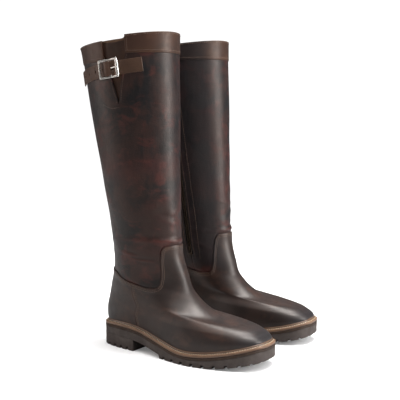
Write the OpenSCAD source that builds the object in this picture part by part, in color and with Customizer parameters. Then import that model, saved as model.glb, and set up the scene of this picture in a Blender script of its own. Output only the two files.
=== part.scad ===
// A pair of tall riding boots with a side buckle, an inside zip and a lugged sole.
// Toes point along +X, the right boot stands at -Y and the left boot is its mirror image.

/* [Size] */
// Scale of each boot, where 1 is 468 mm tall on a 283 mm sole
boot_scale = 1; // [0.92:0.01:1.06]
// Distance between the heel centres of the two boots
pair_spacing = 142; // [140:1:220]
// How far each boot turns its toe outwards
splay = 3; // [0:0.5:8]

/* [Leather] */
// Thickness of the outer leather
leather_t = 1.8; // [1.4:0.1:2.2]
// Thickness of the lining leather
lining_t = 1; // [0.8:0.1:1.2]
// Half the width of the gap that shows the zip
zip_gap = 4.5; // [4:0.1:6]

/* [Sole] */
// How far the welt stands out past the upper
welt_out = 5; // [3:0.5:7]
// Thickness of the welt
welt_t = 3.8; // [3:0.1:4.5]
// Thickness of the midsole
midsole_t = 3.8; // [3:0.1:4.5]
// Thickness of the rubber under the waist and the heel seat
outsole_t = 11; // [9:0.5:12]
// Height of the toe's tread above the floor
toe_spring = 12; // [8:1:14]
// Depth of the notches in the tread
lug_depth = 4.5; // [3:0.5:5.5]

/* [Strap and buckle] */
// Width of the buckle strap
strap_w = 20; // [18:1:22]
// Thickness of the buckle strap
strap_t = 2; // [1.6:0.1:2.2]
// Outer length of the buckle frame
buckle_l = 32; // [31.5:0.5:33]
// Outer height of the buckle frame
buckle_h = 27; // [26:0.5:30]

/* [Hidden] */
$fn = 32;
SIDES = ["right", "left"];
PARTS = ["vamp", "counter_cover", "shaft_outer", "shaft_inner", "collar_front", "collar_back",
         "gusset", "lining", "toe_puff", "heel_stiffener", "insole_board", "footbed", "shank",
         "cork_filler", "welt", "midsole", "outsole", "heel_block", "heel_nails", "strap", "chape",
         "buckle_frame", "buckle_roller", "buckle_prong", "zip_tapes", "zip_chain", "zip_slider",
         "zip_puller", "zip_guard"];

// ---- The last: rings around the foot and leg, from the feather line up to the collar ----
// x of the back, x of the front, z of the back, z of the front, half width at the heel,
// outer half width, inner half width, squareness, and how far the ring is shaped like a foot
STATIONS = [
    [7.5, 280, 35, 28, 28, 45, 46, 2.4, 1],
    [5.5, 279.5, 46, 37, 30, 45.5, 46.5, 2.4, 1],
    [6.2, 271.5, 60, 46.5, 32, 42.5, 43.5, 2.35, 1],
    [10.4, 254, 78, 54, 33, 36.5, 36.5, 2.2, 1],
    [15.2, 199, 97, 61.5, 33, 33, 34, 2.2, 0.85],
    [19.9, 159.2, 114, 90, 34, 31, 34, 2.1, 0.6],
    [23.2, 147, 130, 118.5, 37, 31, 35.6, 2.05, 0.3],
    [23, 138, 155, 153, 41, 38, 37, 2, 0],
    [15.6, 134, 212, 214, 45, 45, 41.6, 2, 0],
    [2.3, 132, 280, 282, 51, 51, 47, 2, 0],
    [-13.3, 131, 357, 359, 56, 56, 53, 2, 0],
    [-27, 128.5, 432, 436, 59, 59, 59, 2, 0],
    [-32, 128.2, 450, 468, 60, 60, 61.1, 2, 0]];
TOP = 12;               // ring number of the collar's top edge
// Height of the feather line along the foot: place from heel to toe, and z
FEATHER = [[0, 35.5], [0.12, 37], [0.26, 35], [0.42, 25.5], [0.58, 17.5], [0.72, 18.5],
           [0.86, 25], [1, 35]];
HEEL_X = 7.5;            // x of the back of the feather line
TOE_X = 280;            // x of its front
TOE_IN = 6;             // how far the toe leans towards the other boot
TOE_FULL = 0.8;         // how much squarer the rings are at the toe than at the heel

// ---- Layers, as distances from the outer face of the leather ----
GAP = 0.3;              // seam gap between panels that lie edge to edge
BAND_OUT = 0.8;         // outer face of the collar band, which is folded over
UNDER = -2.4;           // top of whatever lies just under the leather
GUSSET_OUT = -2.7;      // outer face of the gusset
LINING_OUT = -4;        // outer face of the lining
GUARD_OUT = -5.7;       // outer face of the flap behind the zip

function smooth(t) = let(c = max(0, min(1, t))) c * c * (3 - 2 * c);
function sgn_pow(c, e) = sign(c) * pow(abs(c), e);
function cubic(a, b, c, d, u) =
    0.5 * (2 * b + (c - a) * u + (2 * a - 5 * b + 4 * c - d) * u * u + (3 * b - a - 3 * c + d) * u * u * u);
function along(list, v) =
    let(n = len(list), i = max(0, min(floor(v), n - 2)), b = list[i], c = list[i + 1],
        a = i == 0 ? 2 * b - c : list[i - 1], d = i == n - 2 ? 2 * c - b : list[i + 2])
    cubic(a, b, c, d, v - i);
function between(t, lo, hi) = lo + (hi - lo) * t;

FEATHER_Z = [for (p = FEATHER) p[1]];
FEATHER_STEP = [for (i = [0 : len(FEATHER) - 1]) [FEATHER[i][0], i]];
function feather_z(x) = along(FEATHER_Z, lookup((x - HEEL_X) / (TOE_X - HEEL_X), FEATHER_STEP));

function squareness(p, v, front) = p[7] + (front ? TOE_FULL * smooth((4.9 - v) / 2.4) : 0);

// A point on the outer face: a is the angle (0 toe, 90 inner side, 180 heel), v the ring number
function skin(a, v) =
    let(p = along(STATIONS, v), half = (p[1] - p[0]) / 2, foot = p[8], e = 2 / squareness(p, v, cos(a) > 0),
        x = p[0] + half + half * sgn_pow(cos(a), e), t = (x - p[0]) / (2 * half),
        side = sin(a) > 0 ? p[6] : p[5], waist = foot * exp(-pow((t - 0.42) / 0.16, 2)),
        w = between(smooth((t - 0.25) / 0.4), p[4], side) * (1 - (sin(a) > 0 ? 0.16 : 0.04) * waist),
        y = w * sgn_pow(sin(a), e) + foot * TOE_IN * smooth((t - 0.62) / 0.38),
        flat = p[2] + (p[3] - p[2]) * t, fade = max(0, 1 - v / 2),
        base = STATIONS[0][2] + (STATIONS[0][3] - STATIONS[0][2]) * t,
        lifted = along(FEATHER_Z, lookup(t, FEATHER_STEP)) + flat - base)
    [x, y, between(fade, flat, lifted)];
function unit(p) = p / norm(p);
function normal(a, v) =
    let(d = 0.02, n = unit(cross(skin(a + 1, v) - skin(a - 1, v),
                                 skin(a, min(v + d, TOP)) - skin(a, max(v - d, 0)))))
    unit([n[0], n[1], n[2] * smooth(v / 0.8)]);
function off(a, v, n) = skin(a, v) + n * normal(a, v);

// ---- A sheet of leather between two offsets, over a grid of angles and ring numbers ----
module grid_solid(outer, inner, closed = false) {
    na = len(outer);
    nv = len(outer[0]);
    size = na * nv;
    wrap = closed ? na : na - 1;
    id = function(s, i, j) s * size + (i % na) * nv + j;
    quads = concat(
        [for (i = [0 : wrap - 1], j = [0 : nv - 2])
            [id(0, i, j), id(0, i, j + 1), id(0, i + 1, j + 1), id(0, i + 1, j)]],
        [for (i = [0 : wrap - 1], j = [0 : nv - 2])
            [id(1, i, j), id(1, i + 1, j), id(1, i + 1, j + 1), id(1, i, j + 1)]],
        [for (i = [0 : wrap - 1]) [id(0, i, 0), id(0, i + 1, 0), id(1, i + 1, 0), id(1, i, 0)]],
        [for (i = [0 : wrap - 1])
            [id(0, i, nv - 1), id(1, i, nv - 1), id(1, i + 1, nv - 1), id(0, i + 1, nv - 1)]],
        closed ? [] : [for (j = [0 : nv - 2]) [id(0, 0, j), id(1, 0, j), id(1, 0, j + 1), id(0, 0, j + 1)]],
        closed ? [] : [for (j = [0 : nv - 2])
            [id(0, na - 1, j), id(0, na - 1, j + 1), id(1, na - 1, j + 1), id(1, na - 1, j)]]);
    triangles = [for (q = quads, k = [1, 2]) [q[0], q[k], q[k + 1]]];
    polyhedron([for (s = [outer, inner], row = s, p = row) p], triangles);
}

// angles: list of angles; rings: a function that gives the ring numbers at an angle
module sheet(angles, rings, n_out, n_in) {
    grid = function(n) [for (a = angles) [for (v = rings(a)) off(a, v, n)]];
    grid_solid(grid(n_out), grid(n_in));
}
// rings: list of ring numbers; first, last: functions that give the edge angles at a ring;
// columns: how far each column stands from the first edge to the last, 0 to 1
module panel(rings, first, last, columns, n_out, n_in) {
    grid = function(n) [for (share = columns) [for (r = rings)
        let(a = between(share, first(r), last(r)), v = r < 0 ? foot_edge(a) + 0.03 : r)
            off(a, v, n)]];
    grid_solid(grid(n_out), grid(n_in));
}
function steps(a, b, n) = [for (i = [0 : n]) a + (b - a) * i / n];
function from_toe(a) = abs((a + 540) % 360 - 180);
// The angles from a to b, on the steps and bends that all layers share
function arc(a, b) = concat([a], [for (k = [ceil(a + 1) : floor(b - 1)])
    if (k % ARC_STEP == 0 || len(search(from_toe(k), EDGE_BENDS)) > 0) k], [b]);
// The same as shares of the way from a to b
function arc_shares(a, b) = [for (k = arc(a, b)) (k - a) / (b - a)];
// Turns a distance across the zip line, in mm, into an angle at ring v
function zip_angle(v, mm) = 90 - mm / (norm(skin(91, v) - skin(89, v)) / 2);

// ---- Edges of the panels, as ring numbers and angles ----
ARC_STEP = 12;
EDGE_BENDS = [6, 42, 54, 66]; // angles at which the foot upper's top edge bends, and one at the toe
FOOT_RINGS = [0.05, 0.5, 1, 1.5, 2, 2.5, 3, 3.5, 4];
// Top edge of the foot upper, the same on both sides, from the toe to the heel
FOOT_EDGE = [[0, 7.17], [36, 7.14], [42, 7.02], [48, 6.62], [54, 5.95], [60, 5.35], [66, 5.12], [72, 5.02],
             [84, 4.9], [108, 4.91], [120, 5], [132, 5.3], [156, 5.45], [180, 5.5]];
function foot_edge(a) = lookup(from_toe(a), FOOT_EDGE);
COUNTER_A = 112;        // angle of the heel cover's front seam from the toe
COLLAR_V = 11.05;       // seam under the front part of the collar band
COLLAR_BACK_V = 10.87;  // seam under its back part
BACK_TOP_V = 11.82;     // top edge of the back part
SLIT_V = 10.08;         // bottom of the gusset's slit
SLIT_A = -79;           // angle of the slit's bottom
SLIT_BACK_A = -92.5;    // angles of the slit's two edges at the top
SLIT_FRONT_A = -65.5;
BACK_SEAM_A = -175;     // seam at the back of the leg
ZIP_LOW_V = 6.1;        // ends of the zip
ZIP_TOP_V = 11.7;

function foot_rings(a) = concat(FOOT_RINGS, [for (k = [1 : 3]) between(k / 3, 4, foot_edge(a))]);
module vamp() {
    color([0.2, 0.13, 0.1])
        sheet(arc(0.4 - COUNTER_A, COUNTER_A - 0.4), function(a) foot_rings(a), 0, -leather_t);
}
module counter_cover() {
    color([0.2, 0.13, 0.11])
        sheet(arc(COUNTER_A, 360 - COUNTER_A), function(a) foot_rings(a), 0, -leather_t);
}

// Edges of the leg panels. A ring number below 0 stands for the edge of the foot upper.
function slit_edge(v, top_a) = between(max(0, (v - SLIT_V) / (COLLAR_V - SLIT_V)), SLIT_A, top_a);
function zip_edge(v, side) = zip_angle(max(v, 4.6), side * (v < ZIP_LOW_V ? GAP : zip_gap));
module shaft_outer() {
    seam = function(v) BACK_SEAM_A + 0.2;
    slit_back = function(v) slit_edge(v, SLIT_BACK_A);
    slit_front = function(v) slit_edge(v, SLIT_FRONT_A) - 0.05;
    zip = function(v) zip_edge(v, 1);
    low = 6.05;
    color([0.19, 0.13, 0.11]) {
        panel([-1, low + 0.3, 7, 8, 9, SLIT_V, 10.5, COLLAR_BACK_V - 0.01], seam, slit_back,
              arc_shares(BACK_SEAM_A + 0.2, SLIT_A), 0, -leather_t);
        panel([-1, 7.5, 8, 9, SLIT_V, 10.5, COLLAR_V - 0.01], slit_front, function(v) 76,
              arc_shares(SLIT_A - 0.05, 76), 0, -leather_t);
        panel([-1, 5.3, low, ZIP_LOW_V, 7.5, 8, 9, SLIT_V, 10.5, COLLAR_V - 0.01],
              function(v) 75.95, zip, [0, 1], 0, -leather_t);
    }
}
module shaft_inner() {
    zip = function(v) zip_edge(v, -1);
    seam = function(v) 360 + BACK_SEAM_A - 0.2;
    color([0.19, 0.12, 0.1]) {
        panel([-1, 5.3, 6.05, ZIP_LOW_V, 7, 8, 9, 10, COLLAR_BACK_V - 0.01], zip, function(v) 104.05, [0, 1],
              0, -leather_t);
        panel([-1, 6.35, 7, 8, 9, 10, COLLAR_BACK_V - 0.01], function(v) 104, seam,
              arc_shares(104, 360 + BACK_SEAM_A - 0.2), 0, -leather_t);
    }
}

module collar_front() {
    color([0.3, 0.2, 0.15])
        panel([COLLAR_V, TOP], function(v) SLIT_FRONT_A, function(v) zip_angle(v, zip_gap + 1.5), steps(0, 1, 13),
              BAND_OUT, -leather_t);
}
module collar_back() {
    color([0.3, 0.2, 0.15])
        panel([COLLAR_BACK_V, BACK_TOP_V], function(v) zip_angle(v, -zip_gap - 1.5),
              function(v) 360 + SLIT_BACK_A, steps(0, 1, 15), BAND_OUT, -leather_t);
}
module gusset() {
    color([0.27, 0.18, 0.14])
        panel([SLIT_V - 0.12, 10.5, 11, BACK_TOP_V - 0.05], function(v) SLIT_BACK_A - 5,
              function(v) SLIT_FRONT_A + 5, steps(0, 1, 5), GUSSET_OUT, GUSSET_OUT - 1);
}

LINING_RINGS = [0.3, 0.5, 1, 1.5, 2, 2.5, 3, 3.5, 4, 4.5, 5, 5.5, 6, 6.5, 7, 8, 9, 10, 11, 11.7];
module lining() {
    color([0.45, 0.34, 0.25])
        sheet(arc(98, 442), function(a) LINING_RINGS, LINING_OUT, LINING_OUT - lining_t);
}
STIFF_T = 0.8;          // thickness of the toe puff and of the heel stiffener
module toe_puff() {
    color([0.8, 0.75, 0.6])
        sheet(arc(-48, 48), function(a) [0.5, 1, 1.5, 2], UNDER, UNDER - STIFF_T);
}
module heel_stiffener() {
    color([0.75, 0.7, 0.6])
        sheet(arc(120, 240), function(a) [0.5, 1, 1.5, 2, 2.5, 3, 3.5], UNDER, UNDER - STIFF_T);
}

// ---- The sole: outlines seen from above, cut by profiles seen from the side ----
function flat_normal(a) = let(n = normal(a, 0)) unit([n[0], n[1]]);
function rim(a, d) = let(p = skin(a, 0)) [p[0], p[1]] + d * flat_normal(a);
RIM_A = concat(steps(0, 26.25, 7), steps(30, 330, 40), steps(333.75, 356.25, 6));
module outline(d) {
    polygon([for (a = RIM_A) rim(a, d)]);
}
X_LOW = -12;            // the side profiles run a little past both ends of the sole
X_HIGH = 296;
function line(shift) = [for (x = steps(X_LOW, X_HIGH, 28))
    [x, feather_z(max(HEEL_X, min(TOE_X, x))) + shift]];
function reversed(list) = [for (i = [len(list) - 1 : -1 : 0]) list[i]];
// A slab over the child outline, whose faces follow the feather line at two heights
module slab(low, high) {
    intersection() {
        linear_extrude(90) children();
        rotate([90, 0, 0]) translate([0, 0, -80]) linear_extrude(160)
            polygon(concat(line(high), reversed(line(low))));
    }
}
WELT_IN = -6;           // inner edge of the welt, from the upper's outline
BOARD_EDGE = -6.5;      // edge of the insole board and of the cork
SOCK_EDGE = -7.5;       // edge of the footbed
WELT_TOP = -0.3;
WELT_LOW = WELT_TOP - welt_t;
MID_TOP = WELT_LOW - 0.1;
MID_LOW = MID_TOP - midsole_t;
OUT_TOP = MID_LOW - 0.1;
BREAST_X = 76;          // front face of the heel
BALL_X = 128;           // where the tread leaves the floor towards the waist
SPRING_X = 198;         // where the toe starts to rise

module welt() {
    color([0.48, 0.34, 0.23]) difference() {
        slab(WELT_LOW, WELT_TOP) outline(welt_out);
        translate([0, 0, -1]) linear_extrude(100) outline(WELT_IN);
    }
}
module cork_filler() {
    color([0.7, 0.52, 0.34]) difference() {
        slab(WELT_LOW, WELT_TOP) outline(BOARD_EDGE);
        translate([48, -9, -1]) cube([116, 20, 100]);
    }
}
module shank() {
    color([0.5, 0.5, 0.52])
        slab(WELT_TOP - 2.2, WELT_TOP - 0.8) translate([50, -7]) square([112, 16]);
}
module insole_board() {
    color([0.8, 0.7, 0.55]) slab(0.4, 2.4) outline(BOARD_EDGE);
}
module footbed() {
    color([0.5, 0.38, 0.28]) slab(2.8, 5.8) outline(SOCK_EDGE);
}
module midsole() {
    color([0.36, 0.26, 0.19]) slab(MID_LOW, MID_TOP) outline(welt_out);
}

// Underside of the rubber seen from the side
function tread_z(x) = x < BREAST_X ? feather_z(max(HEEL_X, x)) + OUT_TOP - outsole_t
    : x < BALL_X ? max(0, feather_z(x) + OUT_TOP - outsole_t)
    : x < SPRING_X ? 0 : toe_spring * pow((x - SPRING_X) / (TOE_X - SPRING_X), 1.8);
UNDER_X = concat(steps(X_LOW, BREAST_X, 5), steps(84, BALL_X + 10, 6), steps(150, X_HIGH, 12));
function under_line() = [for (x = UNDER_X) [x, tread_z(x)]];
LUG_GAP = 4.5;          // width of a notch
LUG_IN = 10;            // how far a notch cuts in from the rim
SIDE_NOTCHES = [for (k = [0 : 6]) 139 + 16.8 * k];
TOE_NOTCHES = [-42, -27, -12, 0, 12, 27, 42];
HEEL_NOTCHES = [for (k = [0 : 3]) 23 + 13 * k];
// Angle at which the sole's outline passes x
function angle_at(x) = let(half = (TOE_X - HEEL_X) / 2)
    acos(sgn_pow((x - HEEL_X - half) / half, squareness(STATIONS[0], 0, x > HEEL_X + half) / 2));
module notch(a, z) {
    p = rim(a, welt_out);
    n = flat_normal(a);
    translate([p[0], p[1], z - 5]) rotate(atan2(n[1], n[0]))
        translate([-LUG_IN, -LUG_GAP / 2, 0]) cube([LUG_IN + 5, LUG_GAP, 5 + lug_depth]);
}
module outsole() {
    color([0.2, 0.18, 0.17]) difference() {
        intersection() {
            linear_extrude(90) outline(welt_out);
            rotate([90, 0, 0]) translate([0, 0, -80]) linear_extrude(160)
                polygon(concat(line(OUT_TOP), reversed(under_line())));
        }
        for (x = SIDE_NOTCHES, s = [-1, 1]) notch(s * angle_at(x), tread_z(x));
        for (a = TOE_NOTCHES) notch(a, tread_z(rim(a, -LUG_IN)[0]));
        // cross grooves between the middle lugs
        for (x = SIDE_NOTCHES)
            translate([x + 6.4, -22, tread_z(x + 8) - 5]) cube([4, 46, 4 + lug_depth]);
        heel_nail_holes();
    }
}
module heel_block() {
    color([0.19, 0.17, 0.16]) difference() {
        intersection() {
            linear_extrude(60) outline(welt_out);
            rotate([90, 0, 0]) translate([0, 0, -80]) linear_extrude(160)
                polygon(concat([[X_LOW, 0], [BREAST_X - 2, 0]],
                    reversed([for (x = steps(X_LOW, BREAST_X, 5)) [x, tread_z(x) - 0.1]])));
        }
        for (x = HEEL_NOTCHES, s = [-1, 1]) notch(s * angle_at(x), 0);
        for (s = [-1, 1]) notch(180 + s * 16, 0);
        heel_nail_holes();
    }
}
NAILS = [[18, 0], [34, -14], [34, 14], [58, -14], [58, 14]];
NAIL_R = 1.5;
module heel_nail_holes() {
    for (p = NAILS) translate([p[0], p[1], 7.9]) cylinder(h = 14.2, r = NAIL_R + 0.05);
}
module heel_nails() {
    color([0.6, 0.6, 0.6]) for (p = NAILS) translate([p[0], p[1], 8]) cylinder(h = 14, r = NAIL_R);
}

// ---- Strap and buckle ----
// The buckle's own frame: u along the strap towards the toe, w up across it, n outwards
BUCKLE_A = -84;
BUCKLE_V = 10.7;
BUCKLE_TILT = 8;
B_O = skin(BUCKLE_A, BUCKLE_V);
B_N = let(n = normal(BUCKLE_A, BUCKLE_V)) unit([n[0], n[1], 0]);
B_FLAT = [-B_N[1], B_N[0], 0];
B_U = B_FLAT * cos(BUCKLE_TILT) + [0, 0, 1] * sin(BUCKLE_TILT);
B_W = cross(B_N, B_U);
module at_buckle() {
    multmatrix([[B_U[0], B_W[0], B_N[0], B_O[0]], [B_U[1], B_W[1], B_N[1], B_O[1]],
                [B_U[2], B_W[2], B_N[2], B_O[2]]]) children();
}
BAR_N = 4.2;            // centre bar's height above the leather
BAR_R = 1.2;
ROLLER_U = 13.2;        // roller axis, ahead of the centre bar
ROLLER_N = 5.6;
ROLLER_R = 2.3;
AXLE_R = 1.3;
TURN_GAP = 0.05;        // radial clearance of the turning pieces
KEEPER_R = 1.4;
KEEPER_U = ROLLER_U + ROLLER_R + KEEPER_R - buckle_l;   // keeper bar, behind the centre bar
KEEPER_N = 8;
RAIL_T = 2.6;           // thickness of a side rail
RAIL_W = (buckle_h - RAIL_T) / 2;   // centre line of the side rails

module w_bar(u, n, r, half) {
    translate([u, -half, n]) rotate([-90, 0, 0]) cylinder(h = 2 * half, r = r);
}
// Side rail: a bent strip through the three bars, seen along the bars
RAIL_LINE = [[KEEPER_U - 1.2, KEEPER_N], [0, BAR_N], [ROLLER_U + 1.2, ROLLER_N]];
RAIL_H = 1.5;           // half the rail's depth
module rail_shape() {
    polygon(concat([for (p = RAIL_LINE) p + [0, RAIL_H]], [for (p = reversed(RAIL_LINE)) p - [0, RAIL_H]]));
}
module buckle_frame() {
    color([0.75, 0.74, 0.72]) at_buckle() {
        w_bar(0, BAR_N, BAR_R, RAIL_W);
        w_bar(ROLLER_U, ROLLER_N, AXLE_R, RAIL_W);
        w_bar(KEEPER_U, KEEPER_N, KEEPER_R, RAIL_W);
        for (s = [-1, 1]) translate([0, s * RAIL_W + RAIL_T / 2, 0]) rotate([90, 0, 0])
            linear_extrude(RAIL_T) rail_shape();
    }
}
module buckle_roller() {
    color([0.8, 0.79, 0.77]) at_buckle() translate([ROLLER_U, 0, ROLLER_N]) rotate([90, 0, 0])
        difference() {
            cylinder(h = 2 * RAIL_W - 3.2, r = ROLLER_R, center = true);
            cylinder(h = 40, r = AXLE_R + TURN_GAP, center = true);
        }
}
PRONG_R = 1;
PRONG_LOOP = 2.5;
PRONG_DIP = 1;          // height above the bar's axis at which the prong leaves it
module buckle_prong() {
    rise = ROLLER_N + ROLLER_R + PRONG_R + 0.1 - BAR_N;
    color([0.78, 0.77, 0.75]) at_buckle() difference() {
        union() {
            w_bar(0, BAR_N, PRONG_LOOP, 1.4);
            translate([0, 0, BAR_N + PRONG_DIP]) rotate([0, 90 - atan2(rise - PRONG_DIP, ROLLER_U), 0])
                cylinder(h = ROLLER_U + 2.5, r = PRONG_R);
        }
        w_bar(0, BAR_N, BAR_R + TURN_GAP, 5);
    }
}
module chape() {
    color([0.25, 0.16, 0.12]) difference() {
        union() {
            at_buckle() w_bar(0, BAR_N, BAR_N - 0.9, strap_w / 2 - 1);
            sheet_band(BUCKLE_A - 22, BUCKLE_A, 4, 0.7, 1.9, strap_w - 2);
        }
        at_buckle() w_bar(0, BAR_N, BAR_R + TURN_GAP, 20);
        at_buckle() translate([-6, -2, -3]) cube([12, 4, 15]);
    }
}
// Height above the leather, and place along the strap, from the sewn tab to the tip
STRAP_PATH = [[-47, 0.9], [-54, 0.9], [-62, 0.8], [-68, 0.6], [-74, 0.7], [-77, 2.6], [-80, 7], [-82, 8],
              [-84, 8], [-88, 8.2], [-92, 6], [-96, 4.4], [-101, 3.6], [-108, 2.6], [-117, 1.6],
              [-126, 1.2], [-135, 1.4], [-142, 2.2], [-150, 3.4], [-158, 4.4]];
function strap_v(a) = BUCKLE_V + (a - BUCKLE_A) * 0.002;
function cross_dir(a, v) =
    let(t = unit(skin(a + 1, strap_v(a + 1)) - skin(a - 1, strap_v(a - 1)))) unit(cross(normal(a, v), t));
module band(path, thick, width) {
    rows = function(extra) [for (p = path)
        let(v = strap_v(p[0]), c = off(p[0], v, p[1] + extra), w = cross_dir(p[0], v) * width / 2)
        [c - w, c + w]];
    grid_solid(reversed(rows(thick)), reversed(rows(0)));
}
module sheet_band(from, to, n, low, high, width) {
    band([for (a = reversed(steps(from, to, n))) [a, low]], high - low, width);
}
module strap() {
    color([0.27, 0.18, 0.13]) difference() {
        band(STRAP_PATH, strap_t, strap_w);
        at_buckle() translate([6, 0, 0]) cylinder(h = 20, r = 2.6);
    }
}

// ---- Inside zip, along the straight line at 90 degrees ----
Z_A = skin(90, 7);
Z_B = skin(90, 11);
Z_U = unit(Z_B - Z_A);
Z_N = unit([0, 1, 0] - ([0, 1, 0] * Z_U) * Z_U);
Z_X = cross(Z_U, Z_N);
ZIP_LENGTH = (skin(90, ZIP_TOP_V) - skin(90, ZIP_LOW_V)) * Z_U;
Z_O = Z_A + ((skin(90, ZIP_LOW_V) - Z_A) * Z_U) * Z_U;
SLIDER_Y = ZIP_LENGTH - 16;
PIN_Y = 6;              // the puller's pin, from the slider's lower end
PIN_N = 2;
PIN_R = 0.65;
// Zip frame: x across, y up along the zip, z outwards
module at_zip() {
    multmatrix([[Z_X[0], Z_U[0], Z_N[0], Z_O[0]], [Z_X[1], Z_U[1], Z_N[1], Z_O[1]],
                [Z_X[2], Z_U[2], Z_N[2], Z_O[2]]]) children();
}
TAPE_OUT = 6.4;         // outer edge of a tape
module zip_tapes() {
    color([0.15, 0.12, 0.1]) at_zip() for (s = [-1, 1])
        translate([s < 0 ? -TAPE_OUT : 1.6, 5, -3.6]) cube([TAPE_OUT - 1.6, ZIP_LENGTH - 5, 0.55]);
}
module zip_chain() {
    color([0.6, 0.55, 0.45]) at_zip() for (s = [-1, 1])
        translate([s < 0 ? -3.2 : 0.7, 6, -3]) cube([2.5, ZIP_LENGTH - 8, 2.2]);
}
module zip_slider() {
    color([0.7, 0.66, 0.55]) at_zip() translate([0, SLIDER_Y, 0]) {
        translate([-3.25, 0, -0.6]) cube([6.5, 12, 1.2]);
        translate([-0.5, 3, -3.6]) cube([1, 8, 3.4]);
        translate([-1.3, 1, -4.6]) cube([2.6, 10, 1.1]);
        // the bridge that carries the puller
        difference() {
            translate([-1.1, 2, 0.5]) cube([2.2, 8, 2.8]);
            translate([-3, PIN_Y, PIN_N]) rotate([0, 90, 0]) cylinder(h = 6, r = PIN_R + 0.1);
        }
    }
}
module zip_puller() {
    color([0.7, 0.66, 0.55]) at_zip() translate([0, SLIDER_Y, 0]) {
        translate([-3, PIN_Y, PIN_N]) rotate([0, 90, 0]) cylinder(h = 6, r = PIN_R);
        for (s = [-1, 1]) translate([s < 0 ? -3.4 : 2.2, -7, 1.35]) cube([1.2, 13.6, 1.3]);
        translate([-3.4, -12.5, 1.35]) cube([6.8, 6, 1.3]);
    }
}
GUARD_HALF = 13;        // half the width of the flap behind the zip
module zip_guard() {
    color([0.4, 0.3, 0.22])
        panel(steps(6, BACK_TOP_V - 0.15, 6), function(v) zip_angle(v, GUARD_HALF),
              function(v) zip_angle(v, -GUARD_HALF), [0, 1], GUARD_OUT, GUARD_OUT - lining_t);
}

// ---- One boot, and the pair ----
module piece(name) {
    if (name == "vamp") vamp();
    if (name == "counter_cover") counter_cover();
    if (name == "shaft_outer") shaft_outer();
    if (name == "shaft_inner") shaft_inner();
    if (name == "collar_front") collar_front();
    if (name == "collar_back") collar_back();
    if (name == "gusset") gusset();
    if (name == "lining") lining();
    if (name == "toe_puff") toe_puff();
    if (name == "heel_stiffener") heel_stiffener();
    if (name == "insole_board") insole_board();
    if (name == "footbed") footbed();
    if (name == "shank") shank();
    if (name == "cork_filler") cork_filler();
    if (name == "welt") welt();
    if (name == "midsole") midsole();
    if (name == "outsole") outsole();
    if (name == "heel_block") heel_block();
    if (name == "heel_nails") heel_nails();
    if (name == "strap") strap();
    if (name == "chape") chape();
    if (name == "buckle_frame") buckle_frame();
    if (name == "buckle_roller") buckle_roller();
    if (name == "buckle_prong") buckle_prong();
    if (name == "zip_tapes") zip_tapes();
    if (name == "zip_chain") zip_chain();
    if (name == "zip_slider") zip_slider();
    if (name == "zip_puller") zip_puller();
    if (name == "zip_guard") zip_guard();
}
CENTRE_X = 126.6;         // puts the origin under the middle of the pair
module boot(side, name) {
    mirror([0, side == "left" ? 1 : 0, 0]) translate([0, -pair_spacing / 2, 0])
        scale(boot_scale) translate([-CENTRE_X, 0, 0]) rotate(-splay) piece(name);
}
for (side = SIDES, name = PARTS)
    boot(side, name);
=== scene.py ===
"""A pair of tall riding boots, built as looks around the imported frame.

Every shape is made for the right boot in its own millimetres, moved into the shared frame, and mirrored for
the left boot. A point on the leather is named by an angle (0 toe, 90 inner side, 180 heel) and a ring number
(0 at the welt, 12 at the collar's top edge), and by how far it stands off the leather's outer face.
"""

import math

import bmesh
import bpy
import numpy as np
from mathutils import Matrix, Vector
from mathutils.bvhtree import BVHTree


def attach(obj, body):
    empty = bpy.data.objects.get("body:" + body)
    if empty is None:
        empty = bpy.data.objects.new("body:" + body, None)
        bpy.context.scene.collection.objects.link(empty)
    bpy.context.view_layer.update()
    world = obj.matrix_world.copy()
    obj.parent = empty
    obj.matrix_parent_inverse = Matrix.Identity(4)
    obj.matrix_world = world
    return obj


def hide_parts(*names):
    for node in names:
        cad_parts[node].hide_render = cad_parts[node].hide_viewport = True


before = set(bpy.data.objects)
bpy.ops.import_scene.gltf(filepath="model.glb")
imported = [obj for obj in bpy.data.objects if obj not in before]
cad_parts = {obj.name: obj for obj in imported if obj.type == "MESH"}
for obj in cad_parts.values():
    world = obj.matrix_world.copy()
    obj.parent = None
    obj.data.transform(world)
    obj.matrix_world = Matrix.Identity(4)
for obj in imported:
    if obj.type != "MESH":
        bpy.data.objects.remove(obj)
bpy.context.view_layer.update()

MM = 0.001
SIDES = ("right", "left")

# ---- Where a boot stands in the shared frame ----
CENTRE_X = 126.6
SPACING = 142
SPLAY = math.radians(3)

# ---- The last, the same rings as the frame's: x back, x front, z back, z front, half width at the heel,
# outer half width, inner half width, squareness, and how much of a foot's shape the ring has ----
STATIONS = np.array([
    [7.5, 280, 35, 28, 28, 45, 46, 2.4, 1],
    [5.5, 279.5, 46, 37, 30, 45.5, 46.5, 2.4, 1],
    [6.2, 271.5, 60, 46.5, 32, 42.5, 43.5, 2.35, 1],
    [10.4, 254, 78, 54, 33, 36.5, 36.5, 2.2, 1],
    [15.2, 199, 97, 61.5, 33, 33, 34, 2.2, 0.85],
    [19.9, 159.2, 114, 90, 34, 31, 34, 2.1, 0.6],
    [23.2, 147, 130, 118.5, 37, 31, 35.6, 2.05, 0.3],
    [23, 138, 155, 153, 41, 38, 37, 2, 0],
    [15.6, 134, 212, 214, 45, 45, 41.6, 2, 0],
    [2.3, 132, 280, 282, 51, 51, 47, 2, 0],
    [-13.3, 131, 357, 359, 56, 56, 53, 2, 0],
    [-27, 128.5, 432, 436, 59, 59, 59, 2, 0],
    [-32, 128.2, 450, 468, 60, 60, 61.1, 2, 0]], float)
TOP = 12
FEATHER_T = np.array([0, 0.12, 0.26, 0.42, 0.58, 0.72, 0.86, 1])
FEATHER_Z = np.array([35.5, 37, 35, 25.5, 17.5, 18.5, 25, 35])
HEEL_X, TOE_X, TOE_IN, TOE_FULL = 7.5, 280, 6, 0.8

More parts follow.
